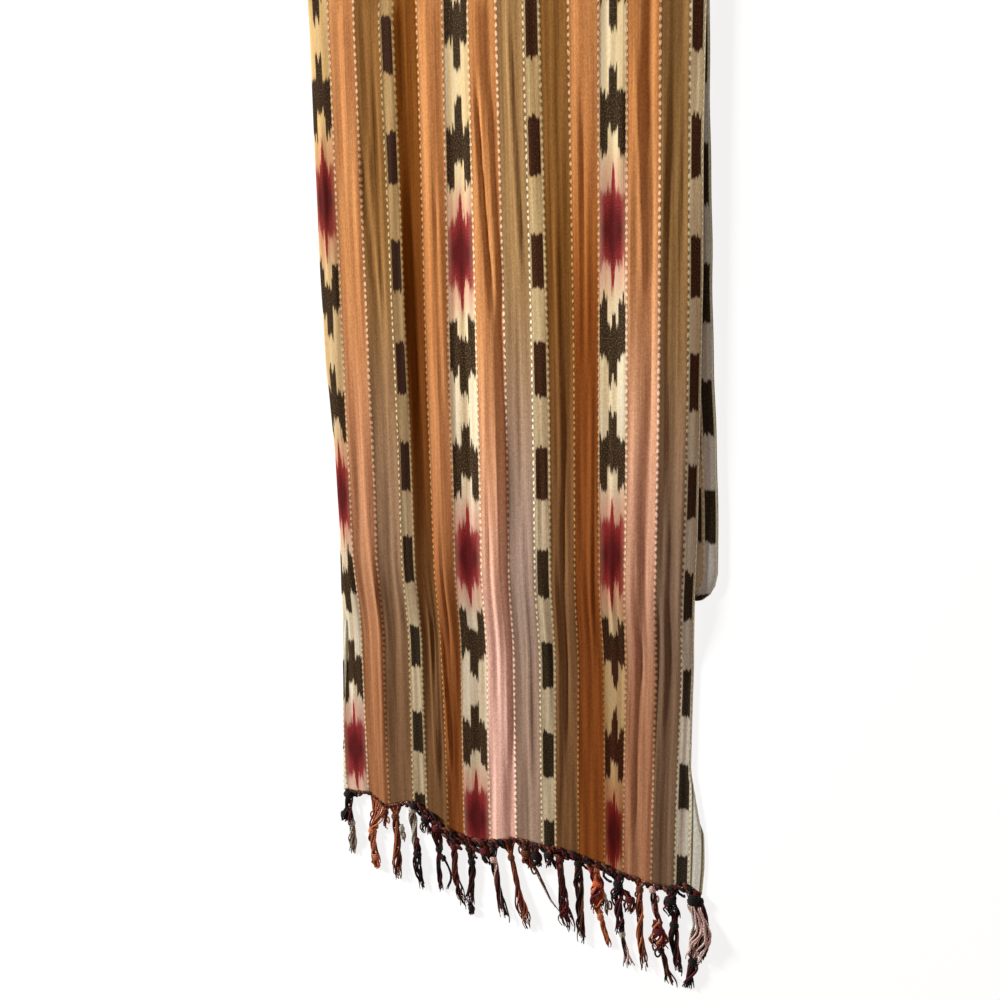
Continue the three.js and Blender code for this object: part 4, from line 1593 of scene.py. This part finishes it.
    def hem_cord(self) -> None:
        """Adds the three twisted yarns that close the weave along the hem."""
        x = np.linspace(*self.hem_span, 300)
        y = read(self.form.hem, x)
        z = self.form.relief(x, y) + 0.8
        for turn, dye in ((0.0, YarnDye.BROWN), (2.1, YarnDye.MAROON), (4.2, YarnDye.BLACK)):
            angle = 2 * math.pi * x / self.hem_twist + turn
            sway = 0.45 * np.sin(x / 3.7 + turn) + 0.4 * np.sin(x / 1.9 + 2 * turn)
            path = np.stack([x, y - 0.8 + 0.6 * np.cos(angle) + sway, z + 0.5 * np.sin(angle)], 1)
            self.tube(path, np.full(len(x), self.hem_yarn), dye)

    def hem_knots(self) -> None:
        """Adds small uneven knots along the hem, crowded where it is thick with them."""
        dice = np.random.default_rng(77)
        dark = (YarnDye.BLACK, YarnDye.MAROON, YarnDye.BLACK, YarnDye.BROWN)
        spread = np.linspace(*self.lump_span, 240)
        crowd = np.cumsum(read(self.clotted, spread) ** self.lump_crowding)
        k = np.linspace(0, 1, 14)
        for n in range(self.lumps):
            share = (n + 0.6 * dice.random()) / self.lumps
            middle = float(np.interp(share * crowd[-1], crowd, spread))
            size = (0.8 + 1.5 * dice.random() ** 2) * float(read(self.clotted, middle))
            angle = 2 * math.pi * (self.lump_turns * k + dice.random())
            hem_y, cloth_z = self.hem_at(middle)
            across = middle + size * np.cos(angle)
            fall = self.lump_drop * size * dice.random() * k
            along = hem_y - 0.9 - fall + 0.7 * size * np.sin(angle)
            up = 0.9 + cloth_z * (1 - 0.6 * k) + 0.5 * size * np.sin(angle + 1)
            path = np.stack([across, along, np.maximum(up, 0.5)], 1)
            self.tube(path, np.full(len(k), self.lump_yarn), dark[n % len(dark)])

    def build(self, name: str) -> bpy.types.Object:
        """Makes the fringe's mesh, one material for each dye.

        Args:
            name: The piece's name.

        Returns:
            The new object.
        """
        for number, t in enumerate(self.tassels):
            self.tie(t, number)
        self.hem_cord()
        self.hem_knots()
        mesh = bpy.data.meshes.new(name)
        places = np.concatenate(self.points)
        places[:, 2] = np.maximum(places[:, 2], self.floor_gap)
        mesh.from_pydata((places * MM).tolist(), [], self.faces)
        layer = mesh.uv_layers.new(name="Yarn", do_init=False)
        layer.uv.foreach_set("vector", np.array(self.places, np.float32).ravel())
        for dye in YarnDye:
            mesh.materials.append(YarnFinish(dye).material())
        mesh.polygons.foreach_set("material_index", self.dyes)
        mesh.polygons.foreach_set("use_smooth", [True] * len(self.faces))
        mesh.update()
        return add_object(name, mesh)


# ------------------------------------------------------------------------------- the scarf


@dataclass
class Scarf:
    """The whole folded scarf."""

    form: FoldedForm = field(default_factory=FoldedForm)
    chart: StripeChart = field(default_factory=StripeChart)
    back_outline: tuple[tuple[float, float], ...] = (
        (290, 112),
        (257, 114.2),
        (125, 119),
        (79, 121.4),
        (47, 123),
        (20, 124.4),
        (-14, 126.2),
        (-30, 126.6),
        (-38, 125.4),
        (-44, 122.4),
        (-46.6, 118.8),
        (-48.2, 114.6),
    )

    @property
    def back_chart(self) -> StripeChart:
        """Returns the stripes as the back fall shows them, with painted shade at the top and deepest
        towards its loop end, and a cooler painted hue.
        """
        bands = tuple(replace(b, tone=(0.60, 1.0, 0.46), lean=(-0.2, -0.2)) for b in self.chart.bands)
        return replace(self.chart, bands=bands, painted_shading_at=(240.0, 60.0, -34.0))

    def front(self, finish: bpy.types.Material) -> bpy.types.Object:
        """Args:
            finish: The cloth's material.

        Returns:
            The new piece.
        """
        piece = FrontFall(self.form, self.chart).sheet().build("front_cloth", self.chart, finish)
        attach(piece, "root")
        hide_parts("front_fall")
        return piece

    def back(self, finish: bpy.types.Material) -> bpy.types.Object:
        """Args:
            finish: The cloth's material.

        Returns:
            The new piece.
        """
        hairpin = Hairpin(
            self.chart,
            bottom=0.03,
            top=2.76,
            loop_y=-46.6,
            end_y=281.4,
            left=-112.5,
            outline=self.back_outline,
            offset=353.4,
        )
        piece = hairpin.sheet().build("back_cloth", self.back_chart, finish)
        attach(piece, "root")
        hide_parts("back_fall")
        return piece

    def inner(self, finish: bpy.types.Material) -> bpy.types.Object:
        """Args:
            finish: The cloth's material.

        Returns:
            The new piece.
        """
        hairpin = Hairpin(
            self.chart,
            bottom=3.12,
            top=5.26,
            loop_y=-41.5,
            end_y=284.0,
            left=-106.3,
            outline=((290.0, 109.3), (-50.0, 109.3)),
            offset=30.0,
            column_pitch=6.0,
            wave=0.6,
        )
        piece = hairpin.sheet().build("inner_turns", self.chart, finish)
        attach(piece, "root")
        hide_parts("hidden_layers")
        return piece

    def fringe(self) -> bpy.types.Object:
        """Builds the fringe."""
        piece = Fringe(self.form).build("knotted_fringe")
        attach(piece, "root")
        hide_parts("fringe")
        return piece


# ------------------------------------------------------------------------------- the studio


@dataclass(frozen=True)
class Lamp:
    """A square soft lamp: where it hangs, its side in metres, its power and its linear colour."""

    name: str
    place: tuple[float, float, float]
    side: float
    watts: float
    colour: tuple[float, float, float]

    def hang(self) -> None:
        """Hangs the lamp so that it faces the scarf."""
        data = bpy.data.lights.new(self.name, "AREA")
        data.shape, data.size, data.energy = "SQUARE", self.side, self.watts
        data.color = self.colour
        made = add_object(self.name, data)
        made.location = self.place
        made.rotation_mode = "QUATERNION"
        made.rotation_quaternion = (-Vector(self.place)).to_track_quat("-Z", "Y")


@dataclass(frozen=True)
class Studio:
    """A lit white table, a window low on the left, warm air above, a card, and the camera."""

    table_half: float = 4.0
    table_glow: float = 0.83
    table_paint: float = 0.20
    air: tuple[float, ...] = (1.0, 0.96, 0.9, 1.0)
    air_strength: float = 0.07
    lamps: tuple[Lamp, ...] = (
        Lamp("window", (-1.50, 0.58, 0.66), 0.30, 73.0, (0.89, 0.96, 0.96)),
        Lamp("warm_air", (0.5, 0.3, 2.0), 1.8, 8.0, (1.0, 0.52, 0.24)),
        Lamp("card", (1.6, -0.3, 0.5), 0.8, 9.0, (0.96, 0.98, 1.0)),
    )
    camera_place: tuple[float, float, float] = (288.53, 167.02, 578.71)
    camera_right: tuple[float, float, float] = (0.8943309, -0.0214955, -0.4468895)
    camera_up: tuple[float, float, float] = (-0.0947668, 0.9670802, -0.2361676)
    lens: float = 41.4

    def floor(self) -> None:
        """Lays the table top, an opal sheet lit from below, so that shadows on it stay pale."""
        mesh = bpy.data.meshes.new("floor")
        s = self.table_half
        mesh.from_pydata([(-s, -s, 0), (s, -s, 0), (s, s, 0), (-s, s, 0)], [], [(0, 1, 2, 3)])
        opal = new_material("opal_acrylic_lit_from_below")
        paint = self.table_paint
        shader = add_node(
            opal.node_tree,
            "ShaderNodeBsdfPrincipled",
            {
                "Base Color": (paint, paint, paint, 1.0),
                "Roughness": 1.0,
                "Specular IOR Level": 0.0,
                "Emission Color": (1.0, 1.0, 1.0, 1.0),
                "Emission Strength": self.table_glow,
            },
        )
        add_node(opal.node_tree, "ShaderNodeOutputMaterial", {"Surface": shader.outputs[0]})
        mesh.materials.append(opal)
        add_object("floor", mesh)

    def light(self) -> None:
        """Sets the sky, the lamps and how light is shown."""
        world = bpy.data.worlds.new("studio_air")
        world.use_nodes = True
        back = world.node_tree.nodes["Background"]
        back.inputs["Color"].default_value = self.air
        back.inputs["Strength"].default_value = self.air_strength
        bpy.context.scene.world = world
        for lamp in self.lamps:
            lamp.hang()
        settings = bpy.context.scene.view_settings
        settings.view_transform = "Standard"
        settings.look = "None"
        settings.exposure = 0.0

    def camera(self) -> None:
        """Places the camera."""
        data = bpy.data.cameras.new("camera")
        data.sensor_width, data.lens = 36.0, self.lens
        data.clip_start, data.clip_end = 0.01, 20.0
        made = add_object("camera", data)
        right, up = Vector(self.camera_right), Vector(self.camera_up)
        turn = Matrix((right, up, right.cross(up))).transposed().to_4x4()
        made.matrix_world = Matrix.Translation(Vector(self.camera_place) * MM) @ turn
        bpy.context.scene.camera = made


def main() -> None:
    """Builds the scarf and its studio, and reports each piece."""
    logging.basicConfig(level=logging.INFO, format="%(name)s: %(message)s")
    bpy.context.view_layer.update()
    scarf = Scarf()
    weave = IkatWeave()
    cloth = weave.material("ikat_weave")
    fringe = scarf.fringe()
    pieces = [fringe, scarf.back(cloth), scarf.inner(cloth), scarf.front(cloth)]
    for piece in pieces:
        triangles = sum(len(face.vertices) - 2 for face in piece.data.polygons)
        LOG.info("%s: %d triangles", piece.name, triangles)
    studio = Studio()
    studio.floor()
    studio.light()
    studio.camera()


if __name__ == "__main__":
    main()
